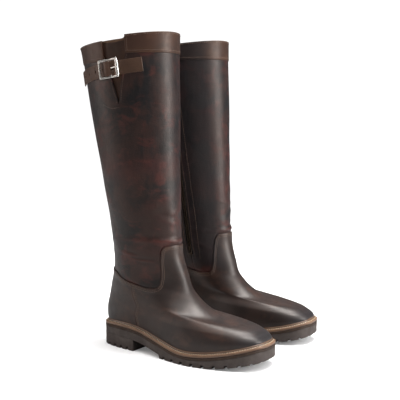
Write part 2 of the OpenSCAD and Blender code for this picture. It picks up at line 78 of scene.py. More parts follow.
# ---- Edges of the panels, as ring numbers and angles ----
FOOT_EDGE_A = np.array([0, 36, 42, 48, 54, 60, 66, 72, 84, 108, 120, 132, 156, 180])
FOOT_EDGE_V = np.array([7.17, 7.14, 7.02, 6.62, 5.95, 5.35, 5.12, 5.02, 4.9, 4.91, 5, 5.3, 5.45, 5.5])
COUNTER_TOP_V = 4.95
COUNTER_LEAN_V = np.array([0, 2, 3.3, COUNTER_TOP_V])
COUNTER_LEAN_A = np.array([113.5, 114, 112.5, 103])
COLLAR_V, COLLAR_BACK_V, BACK_TOP_V = 11.05, 10.87, 11.82
SLIT_V, SLIT_A, SLIT_BACK_A, SLIT_FRONT_A = 10.08, -79, -92.5, -65.5
BACK_SEAM_A = -175
ZIP_LOW_V, ZIP_TOP_V, ZIP_GAP = 6.1, 11.7, 4.5

# ---- Layers, as distances from the outer face of the leather ----
LEATHER_T = 1.8
SEAM_GAP = 0.15         # degrees from the heel seam's line to a panel's edge
UNDER = -2.4
LINING_OUT = -4
GUARD_OUT = -5.7


# ======== Geometry of the last ========

def smooth(t):
    t = np.clip(t, 0, 1)
    return t * t * (3 - 2 * t)


def power(c, e):
    return np.sign(c) * np.abs(c) ** e


def unit(p):
    return p / np.maximum(np.linalg.norm(p, axis=-1, keepdims=True), 1e-9)


def along(table, v):
    """A smooth curve through the rows of table, at row numbers v."""
    table = np.asarray(table, float)
    v = np.asarray(v, float)
    i = np.clip(np.floor(v).astype(int), 0, len(table) - 2)
    u = v - i
    ends = np.concatenate([[2 * table[0] - table[1]], table, [2 * table[-1] - table[-2]]])
    a, b, c, d = (ends[i + k] for k in range(4))
    if table.ndim == 2:
        u = u[..., None]
    square, cube = 2 * a - 5 * b + 4 * c - d, 3 * b - a - 3 * c + d
    return 0.5 * (2 * b + (c - a) * u + square * u * u + cube * u ** 3)


def feather(t):
    """Height of the line where the upper meets the welt, at t from heel to toe."""
    return along(FEATHER_Z, np.interp(t, FEATHER_T, np.arange(len(FEATHER_T))))


def feather_at(x):
    return feather((np.clip(x, HEEL_X, TOE_X) - HEEL_X) / (TOE_X - HEEL_X))


def squareness(p, v, front):
    """Exponent of a ring, which is squarer at the toe than at the heel."""
    return p + np.where(front, TOE_FULL * smooth((4.9 - v) / 2.4), 0)


def skin(a, v):
    """Points on the leather's outer face."""
    a, v = np.broadcast_arrays(np.asarray(a, float), np.asarray(v, float))
    s, c = np.sin(np.radians(a)), np.cos(np.radians(a))
    ring = np.moveaxis(along(STATIONS, v), -1, 0)
    back, front, z_back, z_front, w_heel, w_outer, w_inner, square, foot = ring
    half = (front - back) / 2
    e = 2 / squareness(square, v, c > 0)
    x = back + half + half * power(c, e)
    t = (x - back) / (2 * half)
    waist = foot * np.exp(-((t - 0.42) / 0.16) ** 2)
    w = w_heel + (np.where(s > 0, w_inner, w_outer) - w_heel) * smooth((t - 0.25) / 0.4)
    w = w * (1 - np.where(s > 0, 0.16, 0.04) * waist)
    y = w * power(s, e) + foot * TOE_IN * smooth((t - 0.62) / 0.38)
    flat = z_back + (z_front - z_back) * t
    base = STATIONS[0, 2] + (STATIONS[0, 3] - STATIONS[0, 2]) * t
    lift = np.clip(1 - v / 2, 0, None) * (feather(t) - base)
    return np.stack([x, y, flat + lift], -1)


def normal(a, v):
    across = skin(np.asarray(a) + 1, v) - skin(np.asarray(a) - 1, v)
    up = skin(a, np.minimum(np.asarray(v) + 0.02, TOP)) - skin(a, np.maximum(np.asarray(v) - 0.02, 0))
    n = unit(np.cross(across, up))
    n[..., 2] *= smooth(np.broadcast_to(v, n.shape[:-1]) / 0.8)
    return unit(n)


def bump(x, centre, width):
    return np.exp(-((x - centre) / width) ** 2)


def relief(a, v):
    """How far creases and slack move the leather in or out, in mm."""
    a, v = np.broadcast_arrays(np.asarray(a, float), np.asarray(v, float))
    a = (a + 180) % 360 - 180
    wave = np.sin(np.radians(a * 2 + 40)) + 0.6 * np.sin(np.radians(a * 3.3 - 80))
    # slack in the leg
    slack = 0.3 * np.sin(v * 3.1 + wave) + 0.22 * np.sin(v * 6.3 - 1.7 * wave + 1)
    slack = slack * smooth((v - 6.4) / 1.2) * smooth((10.2 - v) / 1)
    # a fold that rests on the tongue, and smaller ones above it
    fold_v = v + 0.03 * wave
    fold = 0.9 * bump(fold_v, 7.27, 0.05) - 0.5 * bump(fold_v, 7.38, 0.06)
    fold = fold * (0.35 + bump(a, -30, 55))
    soft = 0.45 * bump(fold_v + 0.004 * a, 7.62, 0.07) - 0.35 * bump(fold_v + 0.004 * a, 7.75, 0.06)
    soft = soft * bump(a, -20, 45) + 0.4 * bump(fold_v - 0.003 * a, 7.95, 0.06) * bump(a, -5, 30)
    # two short creases on the outer side of the ankle, and one on the inner side
    side = 0.9 * bump(v + 0.004 * (a + 95), 6.82, 0.05) - 0.7 * bump(v + 0.004 * (a + 95), 6.93, 0.06)
    side = side * bump(a, -97, 14)
    step = 0.9 * bump(v, 6.6, 0.05) - 0.7 * bump(v, 6.7, 0.05)
    side = side + step * bump(a, -74, 16) + 0.6 * bump(v - 0.01 * (a - 75), 6.8, 0.08) * bump(a, 75, 22)
    # uneven ripples low on the outer front of the leg
    ripple = np.sin(v * 7.5 + 0.05 * a) * np.sin(0.11 * a - 3 * v + 1) + 0.6 * np.sin(v * 13 - 0.08 * a)
    ripple = 0.42 * ripple * bump(v, 8.3, 0.8) * bump(a, -38, 34)
    # soft flexing lines across the vamp
    vamp = 0.16 * np.sin(v * 8 + 0.5 * wave) * bump(v, 4.6, 0.7) * bump(a, 0, 55)
    return slack + fold + soft + side + ripple + vamp


def off(a, v, n=0):
    """Points n mm off the leather's outer face, with its creases."""
    return skin(a, v) + (np.asarray(n) + relief(a, v))[..., None] * normal(a, v)


def foot_edge(a):
    """Ring number of the foot upper's top edge, with rounded corners."""
    a = np.abs((np.asarray(a, float) + 180) % 360 - 180)
    spread = np.linspace(-2, 2, 9)
    weight = np.exp(-(spread / 1.2) ** 2)
    around = np.interp(np.abs(a[..., None] + spread), FOOT_EDGE_A, FOOT_EDGE_V)
    return (around * weight).sum(-1) / weight.sum()


def zip_angle(v, mm):
    """The angle mm in front of the zip's line at ring v."""
    per_degree = np.linalg.norm(skin(91, v) - skin(89, v), axis=-1) / 2
    return 90 - mm / per_degree


def slit_edge(v, top_a):
    return SLIT_A + (top_a - SLIT_A) * np.clip((v - SLIT_V) / (COLLAR_V - SLIT_V), 0, None)


def run_along(points):
    """The length of a path up to each of its points."""
    return np.concatenate([[0], np.cumsum(np.linalg.norm(np.diff(points, axis=0), axis=1))])


def spaced(curve, step):
    """Parameters along curve, a function of 0 to 1, about step mm apart."""
    t = np.linspace(0, 1, 2001)
    length = run_along(curve(t))
    return np.interp(np.linspace(0, length[-1], max(3, round(length[-1] / step) + 1)), length, t)


def edge_angles(first, last, step):
    """Angles from first to last, evenly spaced along the foot upper's edge."""
    def curve(t):
        a = first + (last - first) * t
        return skin(a, foot_edge(a))
    return first + (last - first) * spaced(curve, step)


# ======== Meshes ========

def to_frame(points):
    """The right boot's own millimetres to the shared frame's metres."""
    p = np.asarray(points, float)
    c, s = math.cos(SPLAY), math.sin(SPLAY)
    x = p[..., 0] * c + p[..., 1] * s - CENTRE_X
    y = p[..., 1] * c - p[..., 0] * s - SPACING / 2
    return np.stack([x, y, p[..., 2]], -1) * MM


def new_mesh(name, points, faces, smooth_faces=True):
    """A mesh object in the shared frame from points in the right boot's millimetres."""
    mesh = bpy.data.meshes.new(name)
    mesh.from_pydata(to_frame(points).reshape(-1, 3).tolist(), [], [tuple(map(int, f)) for f in faces])
    mesh.polygons.foreach_set("use_smooth", [smooth_faces] * len(mesh.polygons))
    mesh.update()
    return linked(name, mesh)


def linked(name, data):
    obj = bpy.data.objects.new(name, data)
    bpy.context.scene.collection.objects.link(obj)
    return obj


def edit_mesh(obj, *steps):
    """Runs bmesh steps on a piece's mesh."""
    b = bmesh.new()
    b.from_mesh(obj.data)
    for step in steps:
        step(b)
    b.to_mesh(obj.data)
    b.free()


def weld(b):
    bmesh.ops.remove_doubles(b, verts=b.verts, dist=0.02 * MM)


def face_outwards(b):
    bmesh.ops.recalc_face_normals(b, faces=b.faces)


def mirror(b):
    for vertex in b.verts:
        vertex.co.y = -vertex.co.y
    bmesh.ops.reverse_faces(b, faces=b.faces)


def add_bevel(obj, width, angle=50, segments=2):
    bevel = obj.modifiers.new("rounded edges", "BEVEL")
    bevel.width = width * MM
    bevel.segments = segments
    bevel.limit_method = "ANGLE"
    bevel.angle_limit = math.radians(angle)


def add_cut(obj, cutter):
    cut = obj.modifiers.new("cut", "BOOLEAN")
    cut.object = cutter
    cut.solver = "EXACT"


def paint_wear_and_shade(obj, masks):
    """Stores the masks on the points of a piece: darkening (burnished toe and heel, and painted shade), then
    edge and ridge.
    """
    attribute = obj.data.attributes.new("wear", "FLOAT_COLOR", "POINT")
    attribute.data.foreach_set("color", masks.ravel())


def settle(obj):
    """Applies the modifiers."""
    bpy.context.view_layer.update()
    evaluated = obj.evaluated_get(bpy.context.evaluated_depsgraph_get())
    mesh = bpy.data.meshes.new_from_object(evaluated)
    obj.modifiers.clear()
    obj.data = mesh
    return obj


def finish_piece(obj, looks, replaces=None, body="boot"):
    """Dresses a right-boot piece, rides it on its body, and makes the mirrored piece for the left boot."""
    for look in looks.split():
        obj.data.materials.append(MATERIALS[look])
    left = obj.copy()
    left.data = obj.data.copy()
    left.name = obj.name.replace("right_", "left_")
    bpy.context.scene.collection.objects.link(left)
    edit_mesh(left, mirror)
    for side, piece in zip(SIDES, (obj, left)):
        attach(piece, f"{side}_{body}")
        if replaces:
            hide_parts(f"{side}_{replaces}")


def grid_faces(rows, columns):
    """Quads of a grid whose points are stored row by row, facing outwards on a panel."""
    i, j = np.meshgrid(np.arange(rows - 1), np.arange(columns - 1), indexing="ij")
    corner = i * columns + j
    return np.stack([corner, corner + columns, corner + columns + 1, corner + 1], -1).reshape(-1, 4)


def tube_faces(rings, around, closed=False, capped=True):
    """Quads of a tube stored ring by ring, with a cap at each end unless it closes on itself."""
    i, j = np.meshgrid(np.arange(rings if closed else rings - 1), np.arange(around), indexing="ij")
    k, m = (i + 1) % rings, (j + 1) % around
    quads = np.stack([i * around + j, k * around + j, k * around + m, i * around + m], -1)
    faces = [tuple(quad) for quad in quads.reshape(-1, 4).tolist()]
    if capped and not closed:
        faces += [tuple(range(around)), tuple(range(rings * around - 1, (rings - 1) * around - 1, -1))]
    return faces


def edge_distance(points, open_sides):
    """Distance in mm from each grid point to the nearest real edge of the panel."""
    steps_i = np.linalg.norm(np.diff(points, axis=0), axis=-1)
    steps_j = np.linalg.norm(np.diff(points, axis=1), axis=-1)
    run_i = np.concatenate([np.zeros((1, points.shape[1])), np.cumsum(steps_i, 0)])
    run_j = np.concatenate([np.zeros((points.shape[0], 1)), np.cumsum(steps_j, 1)], 1)
    nearest = np.full(points.shape[:2], 99.0)
    for distance, is_open in zip((run_i, run_i[-1:] - run_i, run_j, run_j[:, -1:] - run_j), open_sides):
        if is_open:
            nearest = np.minimum(nearest, distance)
    return nearest


def leather_panel(name, patches, thickness=LEATHER_T, round_by=0.45, edge_tone=1.0):
    """A sheet of leather from patches of (angles, rings, offsets, open sides), with cut edges in slot 2."""
    points, faces, wear, start = [], [], [], 0
    for a, v, n, open_sides in patches:
        grid = off(a, v, n)
        faces.append(grid_faces(*grid.shape[:2]) + start)
        start += grid.shape[0] * grid.shape[1]
        points.append(grid.reshape(-1, 3))
        edge = np.exp(-edge_distance(grid, open_sides) / 3.5) * edge_tone
        toe = smooth((grid[..., 0] - 238) / 34) * smooth((62 - grid[..., 2]) / 20)
        heel = smooth((46 - grid[..., 0]) / 40) * smooth((100 - grid[..., 2]) / 50)
        ridge = np.clip(relief(a, v) / 1.3, 0, 1)
        # painted shade: the inner side above the foot is darkened with the same colour as the burnished toe
        # and heel, for the shade between the two boots
        inner = 0.85 * smooth((np.sin(np.radians(a)) - 0.35) / 0.4) * smooth((v - 5.2) / 0.6)
        burnish_and_shade = np.maximum(np.maximum(toe, 0.6 * heel), inner)
        wear.append(np.stack([burnish_and_shade, edge, ridge, np.ones_like(edge)], -1).reshape(-1, 4))
    obj = new_mesh(name, np.concatenate(points), np.concatenate(faces))
    paint_wear_and_shade(obj, np.concatenate(wear))
    edit_mesh(obj, weld)
    solid = obj.modifiers.new("thickness", "SOLIDIFY")
    solid.thickness = thickness * MM
    solid.offset = -1
    solid.material_offset_rim = 1
    add_bevel(obj, round_by)
    return settle(obj)


def patch(first, last, low, high, a_count, v_count, offset=0.0, open_sides=(1, 1, 1, 1)):
    """A grid of angles and rings: first and last are functions of the ring, low and high of the angle."""
    s = np.linspace(0, 1, a_count)[:, None]
    t = np.linspace(0, 1, v_count)[None, :]
    v = np.full((a_count, v_count), 0.5 * (TOP + SLIT_V))
    a = first(v) + (last(v) - first(v)) * s
    for _ in range(4):
        v = low(a) + (high(a) - low(a)) * t
        a = first(v) + (last(v) - first(v)) * s
    n = offset(a, v) if callable(offset) else np.full(a.shape, float(offset))
    return a, v, n, open_sides


def constant(value):
    return lambda x: np.full(np.shape(x), float(value))


def tree_of(*objs):
    """A search tree over the faces of several pieces."""
    points, faces = [], []
    for obj in objs:
        start = len(points)
        points += [v.co.copy() for v in obj.data.vertices]
        faces += [[start + i for i in p.vertices] for p in obj.data.polygons]
    return BVHTree.FromPolygons(points, faces)


def stitch_shape():
    """Points and faces of one stitch, a pointed bead from -1 to 1 along x."""
    ring = [(math.cos(t), math.sin(t)) for t in np.radians(np.arange(0, 360, 60))]
    levels = ((-0.8, 0.62), (-0.3, 1), (0.3, 1), (0.8, 0.62))
    points = [(-1, 0, 0)] + [(x, r * c, r * s) for x, r in levels for c, s in ring] + [(1, 0, 0)]
    faces = [(0, 1 + k, 1 + (k + 1) % 6) for k in range(6)]
    faces += [tuple(1 + i for i in face) for face in tube_faces(4, 6, capped=False)]
    faces += [(25, 19 + (k + 1) % 6, 19 + k) for k in range(6)]
    return np.array(points, float), faces


def stitch_rows(name, rows, tree, pitch=3.1, length=2.3, width=0.62, lift=0.12):
    """Thread laid in short stitches along rows of points, snapped onto the leather below."""
    base, shell = stitch_shape()
    shape = base * np.array([length / 2, width / 2, width * 0.36]) * MM
    points, faces = [], []
    for row in rows:
        world = to_frame(row)
        run = run_along(world)
        count = max(1, int(run[-1] / (pitch * MM)))
        middles = (np.arange(count) + 0.5) * run[-1] / count
        place, ahead, behind = (np.stack([np.interp(middles + move, run, world[:, k]) for k in range(3)], 1)
                                for move in (0, 0.5 * MM, -0.5 * MM))
        for p, d in zip(place, unit(ahead - behind)):
            hit, n, _, _ = tree.find_nearest(Vector(p))
            n = np.array(n)
            d = unit(d - n * (d @ n))
            centre = np.array(hit) + n * lift * MM
            start = len(points) * len(base)
            points.append(centre + shape[:, :1] * d + shape[:, 1:2] * np.cross(n, d) + shape[:, 2:] * n)
            faces += [tuple(start + i for i in f) for f in shell]
    mesh = bpy.data.meshes.new(name)
    mesh.from_pydata(np.concatenate(points).tolist(), [], faces)
    mesh.polygons.foreach_set("use_smooth", [True] * len(mesh.polygons))
    obj = linked(name, mesh)
    edit_mesh(obj, face_outwards)
    return obj


def swept(path, sides, ups, profile):
    """Points and faces of a tube whose profile, a closed list of (side, up), follows path."""
    profile = np.broadcast_to(profile, (len(path),) + np.shape(profile)[-2:])
    points = path[:, None] + profile[..., :1] * sides[:, None] + profile[..., 1:] * ups[:, None]
    return points.reshape(-1, 3), tube_faces(*points.shape[:2])


def joined(name, parts, smooth_faces=True):
    """One mesh from parts, each a list of points and a list of faces."""
    points, faces, start = [], [], 0
    for p, f in parts:
        points.append(np.asarray(p, float))
        faces += [tuple(start + i for i in face) for face in f]
        start += len(p)
    obj = new_mesh(name, np.concatenate(points), faces, smooth_faces)
    edit_mesh(obj, face_outwards)
    return obj


BOX_FACES = [(0, 2, 3, 1), (4, 5, 7, 6), (0, 1, 5, 4), (2, 6, 7, 3), (0, 4, 6, 2), (1, 3, 7, 5)]


def box_corners(low, high):
    return [(x, y, z) for z in (low[2], high[2]) for y in (low[1], high[1]) for x in (low[0], high[0])]


def beside(a, v, distance):
    """A row of points distance mm to the left of the row (a, v), on the leather."""
    p, n = off(a, v), normal(a, v)
    t = unit(np.gradient(p, axis=0))
    return p + distance * unit(np.cross(n, t))


# ======== Materials ========

class Nodes:
    """A short way to write a material's node tree."""

    def __init__(self, name):
        self.material = bpy.data.materials.new(name)
        self.material.use_nodes = True
        self.tree = self.material.node_tree
        self.shader = self.tree.nodes["Principled BSDF"]
        self.place = self.tree.nodes.new("ShaderNodeTexCoord").outputs["Object"]

    def node(self, kind, inputs=(), **settings):
        made = self.tree.nodes.new(kind)
        for key, value in settings.items():
            setattr(made, key, value)
        for key, value in dict(inputs).items():
            self.set(made.inputs[key], value)
        return made

    def set(self, socket, value):
        if isinstance(value, bpy.types.NodeSocket):
            self.tree.links.new(value, socket)
        else:
            socket.default_value = value

    def noise(self, scale, detail=3, rough=0.5, stretch=None, distortion=0.0):
        place = self.place
        if stretch:
            place = self.node("ShaderNodeMapping", {"Vector": place, "Scale": stretch}).outputs[0]
        made = self.node("ShaderNodeTexNoise", {"Vector": place, "Scale": scale, "Detail": detail,
                                                "Roughness": rough, "Distortion": distortion})
        return made.outputs["Fac"]

    def cells(self, scale, feature="DISTANCE_TO_EDGE"):
        made = self.node("ShaderNodeTexVoronoi", {"Vector": self.place, "Scale": scale}, feature=feature)
        return made.outputs["Distance"]

    def math(self, operation, a, b=0.0):
        return self.node("ShaderNodeMath", {0: a, 1: b}, operation=operation).outputs[0]

    def span(self, value, low, high, out_low=0.0, out_high=1.0):
        made = self.node("ShaderNodeMapRange", {"Value": value, "From Min": low, "From Max": high,
                                                "To Min": out_low, "To Max": out_high},
                         interpolation_type="SMOOTHSTEP")
        return made.outputs[0]

    def mix(self, factor, a, b):
        made = self.node("ShaderNodeMix", data_type="RGBA")
        self.set(made.inputs[0], factor)
        self.set(made.inputs[6], a if isinstance(a, bpy.types.NodeSocket) else (*a, 1))
        self.set(made.inputs[7], b if isinstance(b, bpy.types.NodeSocket) else (*b, 1))
        return made.outputs[2]

    def wear(self):
        """The painted masks: darkening (burnished toe and heel, painted shade on the inner side, and on the
        welt its painted shade), edge and ridge.
        """
        made = self.node("ShaderNodeAttribute", attribute_name="wear")
        split = self.node("ShaderNodeSeparateColor", {0: made.outputs["Color"]})
        return split.outputs[0], split.outputs[1], split.outputs[2]

    def bump(self, height, strength, distance, below=None):
        inputs = {"Height": height, "Strength": strength, "Distance": distance}
        if below:
            inputs["Normal"] = below
        return self.node("ShaderNodeBump", inputs).outputs[0]

    def done(self, colour, roughness, bump=None, **more):
        """Sets the shader's inputs; more names them with _ for a space."""
        self.set(self.shader.inputs["Base Color"], colour)
        self.set(self.shader.inputs["Roughness"], roughness)
        if bump:
            self.set(self.shader.inputs["Normal"], bump)
        for key, value in more.items():
            self.set(self.shader.inputs[key.replace("_", " ")], value)
        return self.material


def leather(name, base, dark, warm, burnish_and_shade=(0.012, 0.011, 0.013), rough=0.4, shine=0.25, grain=1.0):
    """Waxed leather: mottled, redder where it is folded and along its edges, darker where burnished at toe
    and heel, and darker on the inner side as painted shade.
    """
    m = Nodes(name)
    # the first mask holds the burnished toe and heel, and painted shade on the inner side
    toe, edge, ridge = m.wear()
    blotch = m.noise(15, 5, 0.6, distortion=0.8)
    cloud = m.noise(34, 5, 0.6, stretch=(1, 1, 1.5), distortion=0.5)
    fine = m.noise(420, 4, 0.6)
    colour = m.mix(m.span(blotch, 0.42, 0.6), base, dark)
    colour = m.mix(m.math("MULTIPLY", m.span(cloud, 0.5, 0.68), 0.5), colour, warm)
    colour = m.mix(m.math("MULTIPLY", ridge, 0.75), colour, warm)
    colour = m.mix(m.math("MULTIPLY", edge, 0.35), colour, warm)
    colour = m.mix(m.math("MULTIPLY", m.span(fine, 0.45, 0.8), 0.22), colour, dark)
    # near-black mix: real burnishing at toe and heel, and painted shade on the inner side
    colour = m.mix(m.math("MULTIPLY", toe, 0.9), colour, burnish_and_shade)
    roughness = m.span(m.noise(90, 4, 0.6), 0.25, 0.8, rough - 0.07, rough + 0.12)
    pores = m.span(m.cells(1100), 0.0, 0.25)
    fibre = m.noise(2600, 3, 0.6)
    wrinkle = m.noise(130, 5, 0.62, stretch=(1, 1, 2.4), distortion=1.2)
    bump = m.bump(pores, 0.16 * grain, 0.00012)
    bump = m.bump(fibre, 0.12 * grain, 0.0001, bump)
    bump = m.bump(wrinkle, 0.2 * grain, 0.0009, bump)
    return m.done(colour, roughness, bump, Coat_Weight=shine, Coat_Roughness=0.4, Specular_IOR_Level=0.3,
                  Specular_Tint=(1, 0.86, 0.76, 1))


def cut_edge(name, colour):
    m = Nodes(name)
    tone = m.mix(m.noise(500, 3, 0.6), colour, tuple(c * 0.55 for c in colour))
    return m.done(tone, 0.7, m.bump(m.noise(1800, 3), 0.4, 0.0002))


def welt_leather():
    """Tan leather, with painted shade in the groove beside the lip, on the lip's side against the upper and
    under the welt, through the red channel of the painted masks.
    """
    m = Nodes("welt_tan")
    groove, _, _ = m.wear()
    tone = m.mix(m.span(m.noise(70, 4), 0.3, 0.7), (0.175, 0.092, 0.048), (0.115, 0.058, 0.031))
    tone = m.mix(m.math("MULTIPLY", m.noise(900, 3), 0.3), tone, (0.26, 0.15, 0.09))
    # painted shade where the welt meets the upper, in the groove and under the welt
    tone = m.mix(groove, tone, (0.022, 0.012, 0.008))
    return m.done(tone, 0.5, m.bump(m.noise(1500, 3), 0.25, 0.00015), Coat_Weight=0.1)


def rubber(name, colour, light):
    m = Nodes(name)
    dust = m.span(m.noise(38, 5, 0.65), 0.4, 0.75)
    tone = m.mix(dust, colour, light)
    tone = m.mix(m.math("MULTIPLY", m.noise(700, 3), 0.3), tone, light)
    bump = m.bump(m.noise(1400, 4, 0.7), 0.35, 0.00025)
    return m.done(tone, m.span(m.noise(120, 3), 0.3, 0.7, 0.62, 0.8), bump, Specular_IOR_Level=0.35)


def metal(name, colour, rough):
    m = Nodes(name)
    worn = m.noise(260, 4, 0.6)
    tone = m.mix(m.span(worn, 0.45, 0.8), colour, tuple(c * 0.72 for c in colour))
    bump = m.bump(m.noise(900, 3, stretch=(1, 1, 6)), 0.12, 0.00008)
    return m.done(tone, m.span(worn, 0.3, 0.8, rough, rough + 0.15), bump, Metallic=1.0)


def thread(name, colour):
    m = Nodes(name)
    twist = m.node("ShaderNodeTexWave", {"Vector": m.place, "Scale": 900, "Distortion": 2})
    tone = m.mix(twist.outputs["Fac"], colour, tuple(c * 0.6 for c in colour))
    return m.done(tone, 0.75, m.bump(twist.outputs["Fac"], 0.5, 0.0001), Sheen_Weight=0.2)


def woven(name, colour, light):
    m = Nodes(name)
    weave = m.node("ShaderNodeTexChecker", {"Vector": m.place, "Scale": 1600})
    tone = m.mix(m.math("MULTIPLY", weave.outputs["Fac"], 0.6), colour, light)
    return m.done(tone, 0.9, m.bump(weave.outputs["Fac"], 0.5, 0.00015), Sheen_Weight=0.3)


def fibre_board(name, colour):
    m = Nodes(name)
    tone = m.mix(m.noise(320, 5, 0.7), colour, tuple(c * 0.6 for c in colour))
    return m.done(tone, 0.9, m.bump(m.noise(1200, 4), 0.4, 0.0002))


def cork_board(name):
    m = Nodes(name)
    grains = m.cells(300, "F1")
    tone = m.mix(m.span(grains, 0.1, 0.7), (0.36, 0.2, 0.1), (0.14, 0.07, 0.035))
    return m.done(tone, 0.85, m.bump(grains, 0.5, 0.0004))


def make_materials():
    """Every material, by the short name that the pieces ask for."""
    return {
        "leg": leather("leg_leather", (0.025, 0.0118, 0.0105), (0.0065, 0.0066, 0.0082),
                      (0.077, 0.020, 0.0165), rough=0.42, shine=0.17, grain=1.35),
        "foot": leather("foot_leather", (0.021, 0.0115, 0.0095), (0.013, 0.008, 0.0075),
                       (0.054, 0.024, 0.016), rough=0.44, shine=0.36, grain=0.7),
        "collar": leather("collar_leather", (0.046, 0.022, 0.015), (0.030, 0.016, 0.012),
                         (0.080, 0.037, 0.022), rough=0.44, shine=0.1, grain=0.8),
        "strap": leather("strap_leather", (0.058, 0.031, 0.021), (0.036, 0.021, 0.015),
                        (0.095, 0.048, 0.029), rough=0.46, shine=0.1),
        "lining": leather("lining_leather", (0.15, 0.085, 0.052), (0.11, 0.060, 0.036),
                         (0.19, 0.11, 0.07), rough=0.65, shine=0.0, grain=1.4),
        "edge": cut_edge("leather_cut_edge", (0.16, 0.08, 0.042)),
        "welt": welt_leather(),
        "midsole": rubber("midsole_brown", (0.030, 0.016, 0.010), (0.048, 0.028, 0.019)),
        "sole": rubber("sole_rubber", (0.050, 0.038, 0.034), (0.085, 0.068, 0.060)),
        "nickel": metal("satin_nickel", (0.80, 0.77, 0.72), 0.24),
        "brass": metal("dark_zip_metal", (0.10, 0.075, 0.055), 0.4),
        "steel": metal("plain_steel", (0.50, 0.50, 0.52), 0.35),
        "thread": thread("tan_thread", (0.15, 0.082, 0.05)),
        "thread_light": thread("light_thread", (0.62, 0.46, 0.29)),
        "tape": woven("zip_tape", (0.012, 0.009, 0.008), (0.03, 0.022, 0.018)),
        "board": fibre_board("stiffener_board", (0.55, 0.46, 0.33)),
        "cork": cork_board("cork"),
    }


# ======== The upper ========

def raised_edge(a, v):
    """The foot upper lies over the leg, so it stands out towards its top edge."""
    below = (foot_edge(a) - v) * np.linalg.norm(skin(a, v) - skin(a, np.maximum(v - 0.1, 0)), axis=-1) / 0.1
    return 0.95 * smooth(1 - below / 14)


def tucked_edge(a, v):
    """The leg goes under the foot upper, so it sinks in at its lower edge."""
    above = (v - foot_edge(a)) * 60
    return -1.05 * smooth(1 - above / 7)


def counter_a(v):
    """Angle of the heel cover's front seam, which leans a little."""
    return np.interp(v, COUNTER_LEAN_V, COUNTER_LEAN_A)


def foot_patch(first, last, v_count, open_sides):
    """The foot upper between two seams, given as the angle of each at a ring."""
    top_a = edge_angles(float(first(COUNTER_TOP_V)), float(last(COUNTER_TOP_V)), 2.0)
    share = ((top_a - top_a[0]) / (top_a[-1] - top_a[0]))[:, None]
    t = np.linspace(0, 1, v_count)[None, :]
    v = foot_edge(top_a)[:, None] * t
    for _ in range(4):
        a = first(v) + (last(v) - first(v)) * share
        v = foot_edge(a) * t
    return a, v, raised_edge(a, v), open_sides


def make_foot():
    """The vamp and the heel cover, with two rows of stitches along each seam and the top edge."""
    def side(name, first, last, v_count, node):
        leather = leather_panel(name, [foot_patch(first, last, v_count, (1, 1, 0, 1))])
        finish_piece(leather, "foot edge", node)
        return leather
    vamp = side("right_vamp_leather", lambda v: SEAM_GAP - counter_a(v), lambda v: counter_a(v) - SEAM_GAP,
                84, "vamp")
    counter = side("right_counter_leather", lambda v: counter_a(v) + SEAM_GAP,
                   lambda v: 360 - SEAM_GAP - counter_a(v), 60, "counter_cover")
    corner = float(counter_a(COUNTER_TOP_V))
    rows = []
    for a in (edge_angles(-corner, corner, 1.0), edge_angles(corner, 360 - corner, 1.0)):
        rows += [beside(a, foot_edge(a), -d) for d in (2.0, 4.6)]
    v = np.linspace(0.4, 4.8, 80)
    for sign in (-1, 1):
        rows += [beside(sign * counter_a(v), v, d * sign) for d in (2.0, 4.4)]
    stitches = stitch_rows("right_foot_stitching", rows, tree_of(vamp, counter))
    finish_piece(stitches, "thread")


def leg_bottom(a):
    """Ring number of the leg's lower edge, a little under the foot upper."""
    return foot_edge(a) - 0.13


def beside_zip(v, gap):
    """Angle of a leg panel's edge, gap mm from the zip's line, which closes below the zip."""
    return zip_angle(np.maximum(v, 4.6), np.where(v < ZIP_LOW_V, np.sign(gap) * 0.3, gap))


def leg_grid(first, last, angles, high, v_count):
    """Angles and rings from the foot upper to ring high, between the edges first and last."""
    share = ((angles - angles[0]) / (angles[-1] - angles[0]))[:, None]
    v = np.full((len(angles), v_count), 8.0)
    t = np.linspace(0, 1, v_count)[None, :]
    for _ in range(5):
        a = first(v) + (last(v) - first(v)) * share
        v = leg_bottom(a) + (high - leg_bottom(a)) * t
    return a, v, share


def slit_patch(first, last, angles, top, open_sides):
    """A part of the outer leg panel, with straight rings above the lower end of the slit."""
    low_a, low_v, share = leg_grid(first, last, angles, SLIT_V, 96)
    high_v = np.broadcast_to(np.linspace(SLIT_V, top, 26)[None, :], (len(angles), 26))
    high_a = first(high_v) + (last(high_v) - first(high_v)) * share
    v = np.concatenate([low_v, high_v[:, 1:]], 1)
    a = np.concatenate([low_a, high_a[:, 1:]], 1)
    return a, v, tucked_edge(a, v), open_sides


